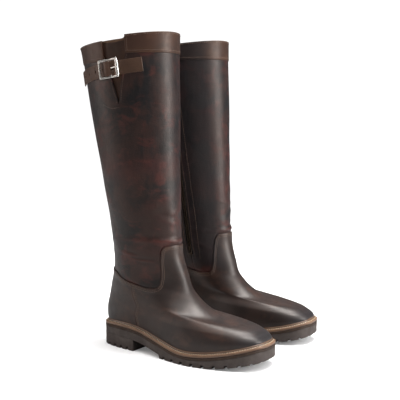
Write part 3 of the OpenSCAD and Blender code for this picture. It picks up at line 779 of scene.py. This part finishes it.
def make_leg():
    """The outer and the inner leg panel, and the stitches of every seam on the leg."""
    seam_a = BACK_SEAM_A + 0.1
    # the outer panel: behind the slit, and in front of it round to the zip
    outer = leather_panel("right_leg_outer_leather", [
        slit_patch(constant(seam_a), lambda v: slit_edge(v, SLIT_BACK_A), edge_angles(seam_a, SLIT_A, 2.2),
                   COLLAR_BACK_V - 0.01, (1, 0, 1, 0)),
        slit_patch(lambda v: slit_edge(v, SLIT_FRONT_A), lambda v: beside_zip(v, ZIP_GAP),
                   edge_angles(SLIT_A, 90, 2.2), COLLAR_V - 0.01, (0, 1, 1, 0))])
    finish_piece(outer, "leg edge", "shaft_outer")
    angles = edge_angles(90, 360 + BACK_SEAM_A - 0.1, 2.2)
    a, v, _ = leg_grid(lambda v: beside_zip(v, -ZIP_GAP), constant(angles[-1]), angles,
                       COLLAR_BACK_V - 0.01, 110)
    inner = leather_panel("right_leg_inner_leather", [(a, v, tucked_edge(a, v), (1, 1, 1, 0))])
    finish_piece(inner, "leg edge", "shaft_inner")
    # seams: the back seam, the zip's placket, the slit, and the row that holds the gusset's lower end
    v = np.linspace(6.1, COLLAR_BACK_V - 0.05, 200)
    rows = [beside(np.full(200, float(BACK_SEAM_A)), v, d) for d in (-2.2, 2.2)]
    v = np.linspace(ZIP_LOW_V - 0.2, COLLAR_BACK_V - 0.05, 200)
    rows += [off(zip_angle(v, mm), v) for mm in (-ZIP_GAP - 2.2, ZIP_GAP + 2.2, ZIP_GAP + 12, -ZIP_GAP - 12)]
    for top_v, top_a, distance in ((COLLAR_BACK_V, SLIT_BACK_A, 2.4), (COLLAR_V - 0.03, SLIT_FRONT_A, -2.4)):
        v = np.linspace(SLIT_V + 0.03, top_v, 60)
        rows.append(beside(slit_edge(v, top_a), v, distance))
    t = np.linspace(0, 1, 60)
    rows.append(off(-103 + 23.5 * t, 10.09 - 0.075 * np.sin(np.pi * np.clip(t * 0.75, 0, 1))))
    stitches = stitch_rows("right_leg_stitching", rows, tree_of(outer, inner), width=0.5)
    finish_piece(stitches, "thread")


def make_collar():
    """The two collar bands, in front of the slit and behind it, each stitched all round."""
    def band(first, last, low, top, a_count):
        """A band folded over at its top, so its edge is a little thicker there."""
        return patch(first, last, constant(low - 0.015), constant(top), a_count, 16,
                     lambda a, v: 0.9 + 0.25 * bump(v, top - 0.03, 0.05))
    front = band(constant(SLIT_FRONT_A), lambda v: zip_angle(v, ZIP_GAP + 1.5), COLLAR_V, TOP, 130)
    back = band(lambda v: zip_angle(v, -ZIP_GAP - 1.5), constant(360 + SLIT_BACK_A), COLLAR_BACK_V,
                BACK_TOP_V, 150)
    bands, rows = [], []
    for name, grid in (("front", front), ("back", back)):
        bands.append(leather_panel(f"right_collar_{name}_leather", [grid], 2.7, 0.7))
        finish_piece(bands[-1], "collar edge", f"collar_{name}")
        a, v = grid[:2]
        rows += [off(a[:, 0], v[:, 0] + 0.075), off(a[:, -1], v[:, -1] - 0.085),
                 off(a[2, 1:-1], v[2, 1:-1]), off(a[-3, 1:-1], v[-3, 1:-1])]
    stitches = stitch_rows("right_collar_stitching", rows, tree_of(*bands), width=0.55)
    finish_piece(stitches, "thread")


def make_gusset():
    def pleat(a, v):
        across = (a - SLIT_BACK_A + 5) / (SLIT_FRONT_A - SLIT_BACK_A + 10)
        return UNDER - 0.35 * bump(across, 0.5, 0.14) * smooth((v - SLIT_V) / 0.8)
    grid = patch(constant(SLIT_BACK_A - 5), constant(SLIT_FRONT_A + 5), constant(SLIT_V - 0.12),
                 constant(BACK_TOP_V - 0.05), 34, 60, pleat)
    gusset = leather_panel("right_gusset_leather", [grid], 1.2, 0.35)
    finish_piece(gusset, "collar edge", "gusset")


def make_lining():
    """The lining closes against the collar at the mouth and is open over the zip."""
    a_list = np.linspace(97.5, 442.5, 190)
    turned = (a_list + 180) % 360 - 180
    in_front = smooth((turned + 68) / 3) * smooth((90 - turned) / 3)
    top = (BACK_TOP_V - 0.03 + (TOP - BACK_TOP_V) * in_front)[:, None]
    t = np.linspace(0, 1, 120)[None, :]
    v = 0.35 + (top - 0.35) * t
    n = LINING_OUT + 2.0 * smooth((v - top + 0.45) / 0.4)
    grid = (np.repeat(a_list[:, None], 120, 1), v, n, (1, 1, 0, 1))
    lining = leather_panel("right_lining_leather", [grid], 1.1, 0.3, 0.4)
    finish_piece(lining, "lining edge", "lining")
    grid = patch(lambda v: zip_angle(v, 13), lambda v: zip_angle(v, -13), constant(6),
                 constant(BACK_TOP_V - 0.15), 16, 110, GUARD_OUT)
    guard = leather_panel("right_zip_guard_leather", [grid], 1.0, 0.3, 0.4)
    finish_piece(guard, "lining edge", "zip_guard")


# ======== The sole ========

WELT_OUT = 5
MID_TOP, MID_LOW, OUT_TOP, OUT_LOW = -4.2, -8.0, -8.1, -19.1
BREAST_X, BALL_X, SPRING_X, TOE_SPRING = 76, 128, 198, 12
LUG_DEPTH, LUG_GAP, LUG_IN = 4.5, 4.5, 10
SIDE_NOTCHES = [139 + 16.8 * k for k in range(7)]
TOE_NOTCHES = [-42, -27, -12, 0, 12, 27, 42]
HEEL_NOTCHES = [23 + 13 * k for k in range(4)]


def rim(a, d):
    """The sole's outline seen from above, d mm outside the upper, with its outward directions."""
    flat = np.array([1, 1, 0])
    n = unit(normal(a, 0) * flat)
    return skin(a, 0) * flat + d * n, n


def even_rim(count):
    """Angles evenly spaced along the outline."""
    return 360 * spaced(lambda t: skin(360 * t, 0), 720 / count)[:-1]


def tread_z(x):
    x = np.asarray(x, float)
    rise = TOE_SPRING * (np.maximum(x - SPRING_X, 0) / (TOE_X - SPRING_X)) ** 1.8
    waist = np.maximum(0, feather_at(x) + OUT_LOW)
    return np.where(x < BALL_X, waist, rise)


def angle_at(x):
    half = (TOE_X - HEEL_X) / 2
    square = squareness(STATIONS[0, 7], 0, x > HEEL_X + half)
    return float(np.degrees(np.arccos(power((x - HEEL_X - half) / half, square / 2))))


def ring_of(angles, profile, heights):
    """Points of a ring whose profile is a list of (out from the upper, height above heights)."""
    base, n = rim(angles, 0)
    rows = []
    for d, z in profile:
        p = base + d * n
        p[:, 2] = heights(p[:, 0]) + z
        rows.append(p)
    return np.stack(rows, 1)


def make_welt():
    """A storm welt: a lip that leans on the upper, a flat with a stitch groove, and a rounded edge."""
    profile = [(-5.6, -0.4), (-0.9, -0.3), (-0.3, 2.2), (0.3, 3.1), (1.0, 3.2), (1.5, 2.5), (1.7, 0.9),
               (2.0, 0.25), (2.5, -0.05), (3.1, -0.05), (3.5, 0.1), (4.3, 0.1), (4.9, -0.25), (5.15, -0.9),
               (5.2, -2.2), (5.1, -3.3), (4.7, -3.8), (-5.6, -3.8)]
    points = ring_of(even_rim(1100), profile, feather_at)
    # the marks of a fudge wheel on the flat
    run = np.cumsum(np.linalg.norm(np.diff(points[:, 11], axis=0, append=points[:1, 11]), axis=1))
    wheel = np.cos(run / run[-1] * 2 * np.pi * round(run[-1] / 3.4))
    for column, depth in ((9, 0.06), (10, 0.14), (11, 0.18), (12, 0.14)):
        points[:, column, 2] += depth * wheel
    rings, around = points.shape[:2]
    welt = joined("right_storm_welt", [(points.reshape(-1, 3), tube_faces(rings, around, closed=True))])
    # darkening by profile point: painted shade, full on the lip's side against the upper and down into the
    # groove, about half under the welt; the lip's top is a third as dark
    masks = np.zeros((rings, around, 4))
    masks[..., 0] = np.interp(np.arange(around), [1, 2, 3, 5, 6, 7, 8, 9, 12, 13, 15, 17],
                              [1, 1, 0.35, 0.3, 0.9, 0.95, 0.6, 0.1, 0, 0, 0.35, 0.5])
    paint_wear_and_shade(welt, masks)
    finish_piece(welt, "welt", "welt")
    row = np.concatenate([points[:, 8], points[:1, 8]])
    stitches = stitch_rows("right_welt_stitching", [row], tree_of(welt), 3.6, 2.7, 1.3, 0.55)
    finish_piece(stitches, "thread_light")


def sole_plate(name, angles, wall, top_z, low_z, across=16):
    """A plate under the boot, lofted from toe to heel; wall is (out from the upper, share of the height)."""
    sides = []
    for sign in (-1, 1):
        rows = []
        for out, share in wall:
            p, _ = rim(sign * angles, out)
            top, low = top_z(p[:, 0]), low_z(p[:, 0])
            p[:, 2] = top + (low - top) * share
            rows.append(p)
        sides.append(np.stack(rows, 1))
    f = np.linspace(0, 1, across + 2)[1:-1][None, :, None]
    bottom = sides[0][:, -1:] * (1 - f) + sides[1][:, -1:] * f
    bottom[..., 2] = low_z(bottom[..., 0])
    top = sides[1][:, :1] * (1 - f) + sides[0][:, :1] * f
    top[..., 2] = top_z(top[..., 0])
    points = np.concatenate([sides[0], bottom, sides[1][:, ::-1], top], 1)
    faces = tube_faces(*points.shape[:2], capped=False)
    if angles[0] > 1:
        faces.append(tuple(range(points.shape[1])))
    obj = new_mesh(name, points.reshape(-1, 3), faces)
    edit_mesh(obj, weld, lambda b: bmesh.ops.dissolve_degenerate(b, edges=b.edges, dist=0.005 * MM),
              face_outwards)
    obj.data.set_sharp_from_angle(angle=math.radians(40))
    return obj


def half_rim(first, last, step):
    """Angles from first to last, evenly spaced along the outline."""
    return first + (last - first) * spaced(lambda t: skin(first + (last - first) * t, 0), step)


def cutter_box(low, high, origin, turn=0.0):
    """A box from low to high, turned about its own origin and put at origin."""
    c, s = math.cos(turn), math.sin(turn)
    corners = [(origin[0] + x * c - y * s, origin[1] + x * s + y * c, origin[2] + z)
               for x, y, z in box_corners(low, high)]
    return corners, BOX_FACES


def notch_box(a, z):
    """The cutter of one notch in the sole's edge, at angle a."""
    p, n = rim(np.array([float(a)]), WELT_OUT)
    return cutter_box((-LUG_IN, -LUG_GAP / 2, -5), (6, LUG_GAP / 2, LUG_DEPTH), (p[0, 0], p[0, 1], z),
                      math.atan2(n[0, 1], n[0, 0]))


def carve(obj, boxes):
    """Cuts the notches, and rounds the edges as a mould does."""
    cutter = joined("cutter", boxes, False)
    add_cut(obj, cutter)
    add_bevel(obj, 0.35, 40)
    settle(obj)
    bpy.data.objects.remove(cutter)
    obj.data.polygons.foreach_set("use_smooth", [True] * len(obj.data.polygons))
    obj.data.set_sharp_from_angle(angle=math.radians(35))


def under_heel_z(x):
    return np.where(x < BREAST_X, feather_at(x) + OUT_LOW, tread_z(x))


def make_sole():
    """The midsole, the lugged outsole, the heel block and the footbed."""
    def level(height):
        """Heights along the boot, from the line where the upper meets the welt."""
        return lambda x: feather_at(x) + height
    angles = half_rim(0, 180, 2)
    mid = sole_plate("right_midsole_layer", angles,
                     [(4.5, 0), (5.0, 0.08), (5.3, 0.5), (5.0, 0.92), (4.5, 1)],
                     level(MID_TOP), level(MID_LOW))
    finish_piece(mid, "midsole", "midsole")
    # the rubber unit, with its side wall drawn in a little halfway down
    outsole = sole_plate("right_lugged_outsole", angles,
                         [(4.5, 0), (5.0, 0.05), (5.0, 0.3), (4.8, 0.6), (5.0, 0.94), (4.6, 1)],
                         level(OUT_TOP), under_heel_z, 22)
    boxes = [notch_box(s * angle_at(x), float(tread_z(x))) for x in SIDE_NOTCHES for s in (-1, 1)]
    for a in TOE_NOTCHES:
        inside, _ = rim(np.array([float(a)]), -LUG_IN)
        boxes.append(notch_box(a, float(tread_z(inside[0, 0]))))
    boxes += [cutter_box((6.4, -22, -5), (10.4, 24, LUG_DEPTH - 1), (x, 0, float(tread_z(x + 8))))
              for x in SIDE_NOTCHES]
    carve(outsole, boxes)
    finish_piece(outsole, "sole", "outsole")
    heel = sole_plate("right_heel_lug_block", half_rim(float(angle_at(BREAST_X - 2)), 180, 2),
                      [(4.7, 0), (5.0, 0.04), (4.9, 0.5), (5.0, 0.95), (4.6, 1)],
                      level(OUT_LOW - 0.1), constant(0), 20)
    boxes = [notch_box(s * angle_at(x), 0) for x in HEEL_NOTCHES for s in (-1, 1)]
    carve(heel, boxes + [notch_box(180 + s * 16, 0) for s in (-1, 1)])
    finish_piece(heel, "sole", "heel_block")
    footbed = sole_plate("right_footbed_sock", angles, [(-8.2, 0), (-7.6, 0.2), (-7.5, 0.8), (-7.9, 1)],
                         level(5.7), level(2.8))
    finish_piece(footbed, "lining", "footbed")


# ======== Strap and buckle ========

BUCKLE_A, BUCKLE_V, BUCKLE_TILT = -84, 10.7, math.radians(8)
BAR_N, BAR_R = 4.2, 1.2
ROLLER_U, ROLLER_N, ROLLER_R, AXLE_R = 13.2, 5.6, 2.3, 1.3
BUCKLE_L, BUCKLE_H, RAIL_T, KEEPER_R, KEEPER_N = 32, 27, 2.6, 1.4, 8
KEEPER_U = ROLLER_U + ROLLER_R + KEEPER_R - BUCKLE_L
RAIL_W = (BUCKLE_H - RAIL_T) / 2
STRAP_W, STRAP_T = 20, 2
STRAP_A = np.array([-47, -54, -62, -68, -74, -77, -80, -82, -84, -88, -92, -96, -101, -108, -117, -126,
                    -135, -142, -150, -158])
STRAP_N = np.array([0.9, 0.9, 0.8, 0.6, 0.7, 2.6, 7, 8, 8, 8.2, 6, 4.4, 3.6, 2.6, 1.6, 1.2,
                    1.4, 2.2, 3.4, 4.4])
STRAP_TIP = 0.6         # how much of the strap's path the rounded tip takes up

buckle_o = skin(BUCKLE_A, BUCKLE_V)
buckle_n = unit(normal(BUCKLE_A, BUCKLE_V) * np.array([1, 1, 0]))
buckle_flat = np.array([-buckle_n[1], buckle_n[0], 0])
buckle_u = buckle_flat * math.cos(BUCKLE_TILT) + np.array([0, 0, math.sin(BUCKLE_TILT)])
buckle_w = np.cross(buckle_n, buckle_u)


def on_buckle(p):
    """Points given as u towards the toe, w up across the strap, n outwards."""
    p = np.asarray(p, float)
    return buckle_o + p[..., :1] * buckle_u + p[..., 1:2] * buckle_w + p[..., 2:] * buckle_n


def strap_v(a):
    return BUCKLE_V + (a - BUCKLE_A) * 0.002


def strap_frames(angles, heights):
    v = strap_v(angles)
    centre = skin(angles, v) + heights[:, None] * normal(angles, v)
    t = unit(np.gradient(centre, axis=0))
    along_skin = unit(skin(angles + 1, strap_v(angles + 1)) - skin(angles - 1, strap_v(angles - 1)))
    across = unit(np.cross(normal(angles, v), along_skin))
    up = unit(np.cross(t, across))
    return centre, across, up


def rounded_bar(width, thick, corner=0.55):
    """Profile of a strap, from its inner face: a flat bar with round edges."""
    half = width / 2
    points = []
    for cx, cy, start in ((half - corner, thick - corner, 0), (-half + corner, thick - corner, 90),
                          (-half + corner, corner, 180), (half - corner, corner, 270)):
        for t in (0, 30, 60, 90):
            r = math.radians(start + t)
            points.append((cx + corner * math.cos(r), cy + corner * math.sin(r)))
    return np.array(points)


def strap_band(name, t_list, widths, heights, thick):
    """A band of leather along the strap's path; t runs from the sewn tab to the tip."""
    centre, across, up = strap_frames(along(STRAP_A, t_list), heights)
    profiles = np.stack([rounded_bar(width, thick) for width in widths])
    return joined(name, [swept(centre, across, up, profiles)]), centre, across, up


def strap_holes(centre, across, up):
    """Cutters for the holes down the middle of the strap; the prong goes through the first."""
    run = run_along(centre)
    prong_at = np.argmin(np.linalg.norm(centre - on_buckle([6, 0, 7]), axis=1))
    turn = np.radians(np.arange(0, 360, 22.5))[:, None]
    cutters = []
    for distance in (0, 19, 38, 57, 76):
        k = int(np.argmin(np.abs(run - run[prong_at] - distance)))
        if distance and run[-1] - run[k] < 12:
            continue
        radius = 1.4 if distance else 2.3
        circle = radius * (np.cos(turn) * across[k] + np.sin(turn) * np.cross(across[k], up[k]))
        rings = [centre[k] + h * up[k] + circle for h in (-3, 6)]
        cutters.append((np.concatenate(rings), tube_faces(2, 16)))
    return cutters


def make_strap():
    """The long strap, from its sewn tab at the front through the buckle to its loose tip."""
    last = len(STRAP_A) - 1
    tip = np.sin(np.linspace(0.08, np.pi / 2, 14))
    t_list = np.concatenate([np.linspace(0, last - STRAP_TIP, 150), last - STRAP_TIP + STRAP_TIP * tip])
    past = np.clip((t_list - (last - STRAP_TIP)) / STRAP_TIP, 0, 1)
    widths = STRAP_W * np.maximum(0.12, np.sqrt(np.maximum(0.0, 1 - past ** 2.2)))
    strap, centre, across, up = strap_band("right_strap_leather", t_list, widths, along(STRAP_N, t_list),
                                           STRAP_T)
    punch = joined("punch", strap_holes(centre, across, up), False)
    add_cut(strap, punch)
    settle(strap)
    bpy.data.objects.remove(punch)
    paint_strap(strap, centre, up)
    finish_piece(strap, "strap edge", "strap")
    body = slice(4, 150)
    rows = [centre[body] + across[body] * s * (STRAP_W / 2 - 2) + up[body] * STRAP_T for s in (-1, 1)]
    over = np.linspace(-STRAP_W / 2 + 2.4, STRAP_W / 2 - 2.4, 12)[:, None]
    rows += [centre[k] + over * across[k] + up[k] * STRAP_T for k in (3, 10)]
    stitches = stitch_rows("right_strap_stitching", rows, tree_of(strap), 2.7, 2.0, 0.55)
    finish_piece(stitches, "thread_light")


def paint_strap(obj, centre, up):
    """Edge wear for the strap, and the cut edge's own material slot."""
    line = to_frame(centre)
    co = np.array([v.co for v in obj.data.vertices])
    nearest = np.array([np.argmin(((line - p) ** 2).sum(1)) for p in co])
    distance = np.linalg.norm(co - line[nearest], axis=1) / MM
    edge = smooth((distance - STRAP_W / 2 + 2.4) / 2.4)
    paint_wear_and_shade(obj, np.stack([0 * edge, edge, 0 * edge, 0 * edge + 1], 1))
    normals = unit(to_frame(up) - to_frame(np.zeros(3)))
    for polygon in obj.data.polygons:
        k = nearest[polygon.vertices[0]]
        if abs(np.dot(np.array(polygon.normal), normals[k])) < 0.35:
            polygon.material_index = 1


def make_chape():
    """The short strap under the buckle, looped round its centre bar and split there for the prong."""
    inner, outer = BAR_R + 0.15, BAR_R + 1.65
    arc = np.radians(np.linspace(-90, 205, 26))
    parts = []
    for low_w, high_w in ((1 - STRAP_W / 2, -2.2), (2.2, STRAP_W / 2 - 1)):
        ring = ((inner, low_w), (inner, high_w), (outer, high_w), (outer, low_w))
        points = [(r * math.cos(q), w, BAR_N + r * math.sin(q)) for q in arc for r, w in ring]
        parts.append((on_buckle(points), tube_faces(26, 4)))
    loop = joined("right_chape_loop", parts)
    add_bevel(loop, 0.4)
    settle(loop)
    finish_piece(loop, "strap", "chape")
    t_list = np.linspace(8.3, 13.2, 60)
    tail, _, _, _ = strap_band("right_chape_tail", t_list, [STRAP_W - 2.4] * 60, np.full(60, 0.75), 1.2)
    finish_piece(tail, "strap")


def tube(path, radii, sides=20):
    """Points and faces of a round tube along path, in buckle or zip coordinates."""
    t = unit(np.gradient(path, axis=0))
    ref = np.tile([0.0, 0.0, 1.0], (len(path), 1))
    ref[np.abs((t * ref).sum(1)) > 0.9] = [1.0, 0.0, 0.0]
    b = unit(np.cross(t, ref))
    q = np.radians(np.arange(sides) * 360 / sides)
    return swept(path, b, np.cross(b, t), radii[:, None, None] * np.stack([np.cos(q), np.sin(q)], 1))


def rounded_rod(start, end, radius, sides=20):
    """A straight rod with softened ends."""
    start, end = np.asarray(start, float), np.asarray(end, float)
    d = 0.4 * unit(end - start)
    path = np.array([start, start + 0.12 * d, start + d, end - d, end - 0.12 * d, end])
    return tube(path, radius - np.array([0.4, 0.12, 0, 0, 0.12, 0.4]), sides)


def rail(w):
    """One side rail of the frame, bent where it meets the centre bar, with a rounded rectangular section."""
    u = np.linspace(KEEPER_U - 1.0, ROLLER_U + 1.2, 40)
    n = np.interp(u, [KEEPER_U - 1, 0, ROLLER_U + 1.2], [KEEPER_N, BAR_N, ROLLER_N])
    bend = np.convolve(np.pad(n, 4, mode="edge"), np.ones(9) / 9, mode="valid")
    path = np.stack([u, np.full(40, w), bend], 1)
    q = np.radians(np.arange(24) * 15)
    section = np.stack([power(np.cos(q), 0.55) * RAIL_T / 2, power(np.sin(q), 0.55) * 1.5], 1)
    side = np.tile([0.0, 1.0, 0.0], (40, 1))
    up = np.cross(side, unit(np.gradient(path, axis=0)))
    shrink = np.ones((40, 1, 1))
    shrink[0] = shrink[-1] = 0.72
    return swept(path, side, up, shrink * section)


def make_roller():
    """A tube with turned-in ends."""
    half = RAIL_W - 1.6
    q = np.radians(np.arange(32) * 360 / 32)
    profile = [(-half, AXLE_R + 0.12), (-half, ROLLER_R - 0.35), (-half + 0.12, ROLLER_R - 0.1),
               (-half + 0.4, ROLLER_R), (half - 0.4, ROLLER_R), (half - 0.12, ROLLER_R - 0.1),
               (half, ROLLER_R - 0.35), (half, AXLE_R + 0.12)]
    points = [(ROLLER_U + r * math.cos(t), w, ROLLER_N + r * math.sin(t)) for w, r in profile for t in q]
    faces = tube_faces(len(profile), 32, closed=True)
    roller = joined("right_buckle_roller_nickel", [(on_buckle(points), faces)])
    roller.data.set_sharp_from_angle(angle=math.radians(50))
    finish_piece(roller, "nickel", "buckle_roller", "buckle_roller")


def make_prong():
    """A pin looped round the centre bar and resting on the roller."""
    top = ROLLER_N + ROLLER_R + 1.05
    wrap = np.radians(np.linspace(200, 480, 30))
    loop = np.stack([1.75 * np.cos(wrap), np.zeros(30), BAR_N + 1.75 * np.sin(wrap)], 1)
    start = loop[-1]
    t = np.linspace(0, 1, 30)[1:]
    arm = np.stack([start[0] + (ROLLER_U + 2.4 - start[0]) * t, 0 * t,
                    start[2] + (top - start[2]) * smooth(t * 1.05) + 0.35 * np.sin(np.pi * t)], 1)
    arm_radii = 0.5 + 0.45 * smooth(t * 3) - 0.25 * smooth((t - 0.85) / 0.15)
    points, faces = tube(np.concatenate([loop, arm]), np.concatenate([np.full(30, 0.5), arm_radii]), 14)
    prong = joined("right_buckle_prong_nickel", [(on_buckle(points), faces)])
    finish_piece(prong, "nickel", "buckle_prong", "buckle_prong")


def make_buckle():
    """The frame: two side rails that carry the keeper bar, the centre bar and the roller's axle."""
    parts = [rail(-RAIL_W), rail(RAIL_W)]
    for u, n, r in ((KEEPER_U, KEEPER_N, KEEPER_R), (0, BAR_N, BAR_R), (ROLLER_U, ROLLER_N, AXLE_R)):
        parts.append(rounded_rod([u, -RAIL_W, n], [u, RAIL_W, n], r))
    buckle = joined("right_buckle_frame_nickel", [(on_buckle(points), faces) for points, faces in parts])
    finish_piece(buckle, "nickel", "buckle_frame", "buckle")
    make_roller()
    make_prong()


# ======== Zip ========

zip_a, zip_b = skin(90, 7), skin(90, 11)
zip_u = unit(zip_b - zip_a)
zip_n = unit(np.array([0, 1, 0]) - zip_u[1] * zip_u)
zip_x = np.cross(zip_u, zip_n)
ZIP_LENGTH = float((skin(90, ZIP_TOP_V) - skin(90, ZIP_LOW_V)) @ zip_u)
zip_o = zip_a + ((skin(90, ZIP_LOW_V) - zip_a) @ zip_u) * zip_u
SLIDER_Y = ZIP_LENGTH - 16
PIN_Y, PIN_N, PIN_R = 6, 2, 0.65
TOOTH_PITCH = 2.6


def on_zip(p):
    """Points given as x across, y up along the zip, n outwards."""
    p = np.asarray(p, float)
    return zip_o + p[..., :1] * zip_x + p[..., 1:2] * zip_u + p[..., 2:] * zip_n


def metal_piece(name, boxes, parts=(), soft=0.3, segments=2, replaces=None, body="boot"):
    """A zip part from boxes (low, high) and other parts in zip coordinates, with softened edges."""
    parts = list(parts) + [(box_corners(low, high), BOX_FACES) for low, high in boxes]
    obj = joined(name, [(on_zip(points), faces) for points, faces in parts], False)
    add_bevel(obj, soft, 40, segments)
    settle(obj)
    finish_piece(obj, "brass", replaces, body)


def make_zip():
    """The tapes, the rows of teeth, the slider and its puller."""
    # tapes, with a corded inner edge
    n = np.array([-3.2, -3.05, -3.05, -3.0, -2.9, -3.0, -3.5, -3.6, -3.55, -3.5, -3.55, -3.4])
    parts = []
    for s in (-1, 1):
        x = np.array([6.4, 6.1, 5, 3.4, 2.4, 1.7, 1.7, 2.4, 3.4, 5, 6.1, 6.4]) * s
        points = [(x[j], y, n[j]) for y in np.linspace(0, ZIP_LENGTH, 90) for j in range(12)]
        parts.append((on_zip(points), tube_faces(90, 12)))
    finish_piece(joined("right_zip_tape_weave", parts), "tape", "zip_tapes")
    # teeth, alternating left and right, and the stops
    boxes = []
    for k in range(int((ZIP_LENGTH - 6) / TOOTH_PITCH)):
        y = 3 + TOOTH_PITCH * k
        boxes.append(((-3.1, y, -2.7), (-0.6, y + 1.25, -0.9)))
        y += TOOTH_PITCH / 2
        boxes.append(((0.6, y, -2.7), (3.1, y + 1.25, -0.9)))
    for x in (-3.4, 0.8):
        boxes.append(((x, ZIP_LENGTH - 3, -2.9), (x + 2.6, ZIP_LENGTH - 0.4, -0.8)))
    boxes.append(((-3.2, 0, -2.9), (3.2, 2.2, -0.8)))
    metal_piece("right_zip_teeth", boxes, soft=0.28, segments=1, replaces="zip_chain")
    # slider: an outer plate, a neck between the rows, an inner plate and the bridge
    y = SLIDER_Y
    metal_piece("right_zip_slider_body", [
        ((-3.25, y, -0.6), (3.25, y + 12, 0.6)), ((-0.5, y + 3, -3.6), (0.5, y + 11, -0.4)),
        ((-1.3, y + 1, -4.6), (1.3, y + 11, -3.5)), ((-1.1, y + 2, 0.4), (1.1, y + 4.2, 3.1)),
        ((-1.1, y + 7.8, 0.4), (1.1, y + 10, 3.1)), ((-1.1, y + 2, 2.75), (1.1, y + 10, 3.4))],
        replaces="zip_slider", body="zip_slider")
    # puller: a pin, two arms and a plate
    pin = rounded_rod([-3, PIN_Y + y, PIN_N], [3, PIN_Y + y, PIN_N], PIN_R + 0.01, 16)
    metal_piece("right_zip_puller_tab", [
        ((-3.4, y - 7, 1.35), (-2.2, y + 6.6, 2.65)), ((2.2, y - 7, 1.35), (3.4, y + 6.6, 2.65)),
        ((-3.4, y - 12.5, 1.35), (3.4, y - 6.5, 2.65))],
        [pin], 0.32, replaces="zip_puller", body="zip_puller")


# ======== Carried-over nodes, camera, light ========

def dress_frame():
    """Materials for the inner pieces whose frame shape stays."""
    looks = {"toe_puff": "board", "heel_stiffener": "board", "insole_board": "board", "shank": "steel",
             "heel_nails": "steel", "cork_filler": "cork"}
    for side in SIDES:
        for node, look in looks.items():
            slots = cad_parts[f"{side}_{node}"].data.materials
            slots.clear()
            slots.append(MATERIALS[look])


def softbox(name, place, target, size, power, colour=(1, 1, 1)):
    light = bpy.data.lights.new(name, "AREA")
    light.shape = "RECTANGLE"
    light.size, light.size_y = size
    light.energy = power
    light.color = colour
    obj = linked(name, light)
    obj.location = place
    obj.rotation_euler = (Vector(target) - Vector(place)).to_track_quat("-Z", "Y").to_euler()


def make_floor():
    """A white floor that fades out into the white around it, and reflects less light than it shows."""
    mesh = bpy.data.meshes.new("studio_floor")
    mesh.from_pydata([(-14, -14, 0), (14, -14, 0), (14, 14, 0), (-14, 14, 0)], [], [(0, 1, 2, 3)])
    m = Nodes("studio_white")
    seen = m.node("ShaderNodeLightPath").outputs["Is Camera Ray"]
    distance = m.node("ShaderNodeVectorMath", {0: m.place}, operation="LENGTH").outputs["Value"]
    tone = m.mix(seen, (0.42, 0.42, 0.42), m.mix(m.noise(0.6, 2), (0.93, 0.93, 0.93), (0.90, 0.90, 0.90)))
    mesh.materials.append(m.done(tone, 0.9, Specular_IOR_Level=0.0, Emission_Color=(1, 1, 1, 1),
                                 Emission_Strength=m.math("MULTIPLY", seen, 0.14),
                                 Alpha=m.span(distance, 0.9, 2.4, 1.0, 0.0)))
    linked("studio_floor", mesh)


def make_world():
    """White all round: dim as a light, bright where it is seen."""
    world = bpy.data.worlds.new("studio")
    world.use_nodes = True
    tree = world.node_tree
    chooser = tree.nodes.new("ShaderNodeMixShader")
    path = tree.nodes.new("ShaderNodeLightPath")
    tree.links.new(path.outputs["Is Camera Ray"], chooser.inputs[0])
    for socket, strength in ((1, 0.17), (2, 1.1)):
        white = tree.nodes.new("ShaderNodeBackground")
        white.inputs["Color"].default_value = (1, 1, 1, 1)
        white.inputs["Strength"].default_value = strength
        tree.links.new(white.outputs[0], chooser.inputs[socket])
    tree.links.new(chooser.outputs[0], tree.nodes["World Output"].inputs[0])
    bpy.context.scene.world = world


def make_studio():
    make_floor()
    make_world()
    softbox("top_softbox", (0.2, 0.25, 1.9), (0.05, 0, 0.1), (1.1, 1.1), 58)
    softbox("right_softbox", (1.6, 0.35, 0.8), (0, 0, 0.25), (0.5, 1.5), 36)
    softbox("left_fill", (-1.7, -0.9, 0.9), (0, 0, 0.25), (0.8, 1.6), 13, (1.0, 0.90, 0.86))
    sun = bpy.data.lights.new("even_light", "SUN")
    sun.energy = 1.7
    sun.angle = math.radians(60)
    linked("even_light", sun).rotation_euler = (math.radians(12), math.radians(8), 0)
    bpy.context.scene.view_settings.view_transform = "Standard"


def make_camera():
    """The viewing position: 1.25 m from the right boot, a little above its middle."""
    camera = bpy.data.cameras.new("camera")
    camera.sensor_width = 36
    camera.lens = 73.7
    camera.clip_end = 60
    obj = linked("camera", camera)
    obj.location = (0.6318, -1.0851, 0.3398)
    heading, pitch = math.radians(30.22), math.radians(5.44)
    level = math.cos(pitch)
    forward = Vector((-math.sin(heading) * level, math.cos(heading) * level, -math.sin(pitch)))
    obj.rotation_euler = forward.to_track_quat("-Z", "Y").to_euler()
    bpy.context.scene.camera = obj


make_camera()
make_studio()
MATERIALS = make_materials()
dress_frame()
make_foot()
make_leg()
make_collar()
make_gusset()
make_lining()
make_welt()
make_sole()
make_strap()
make_chape()
make_buckle()
make_zip()
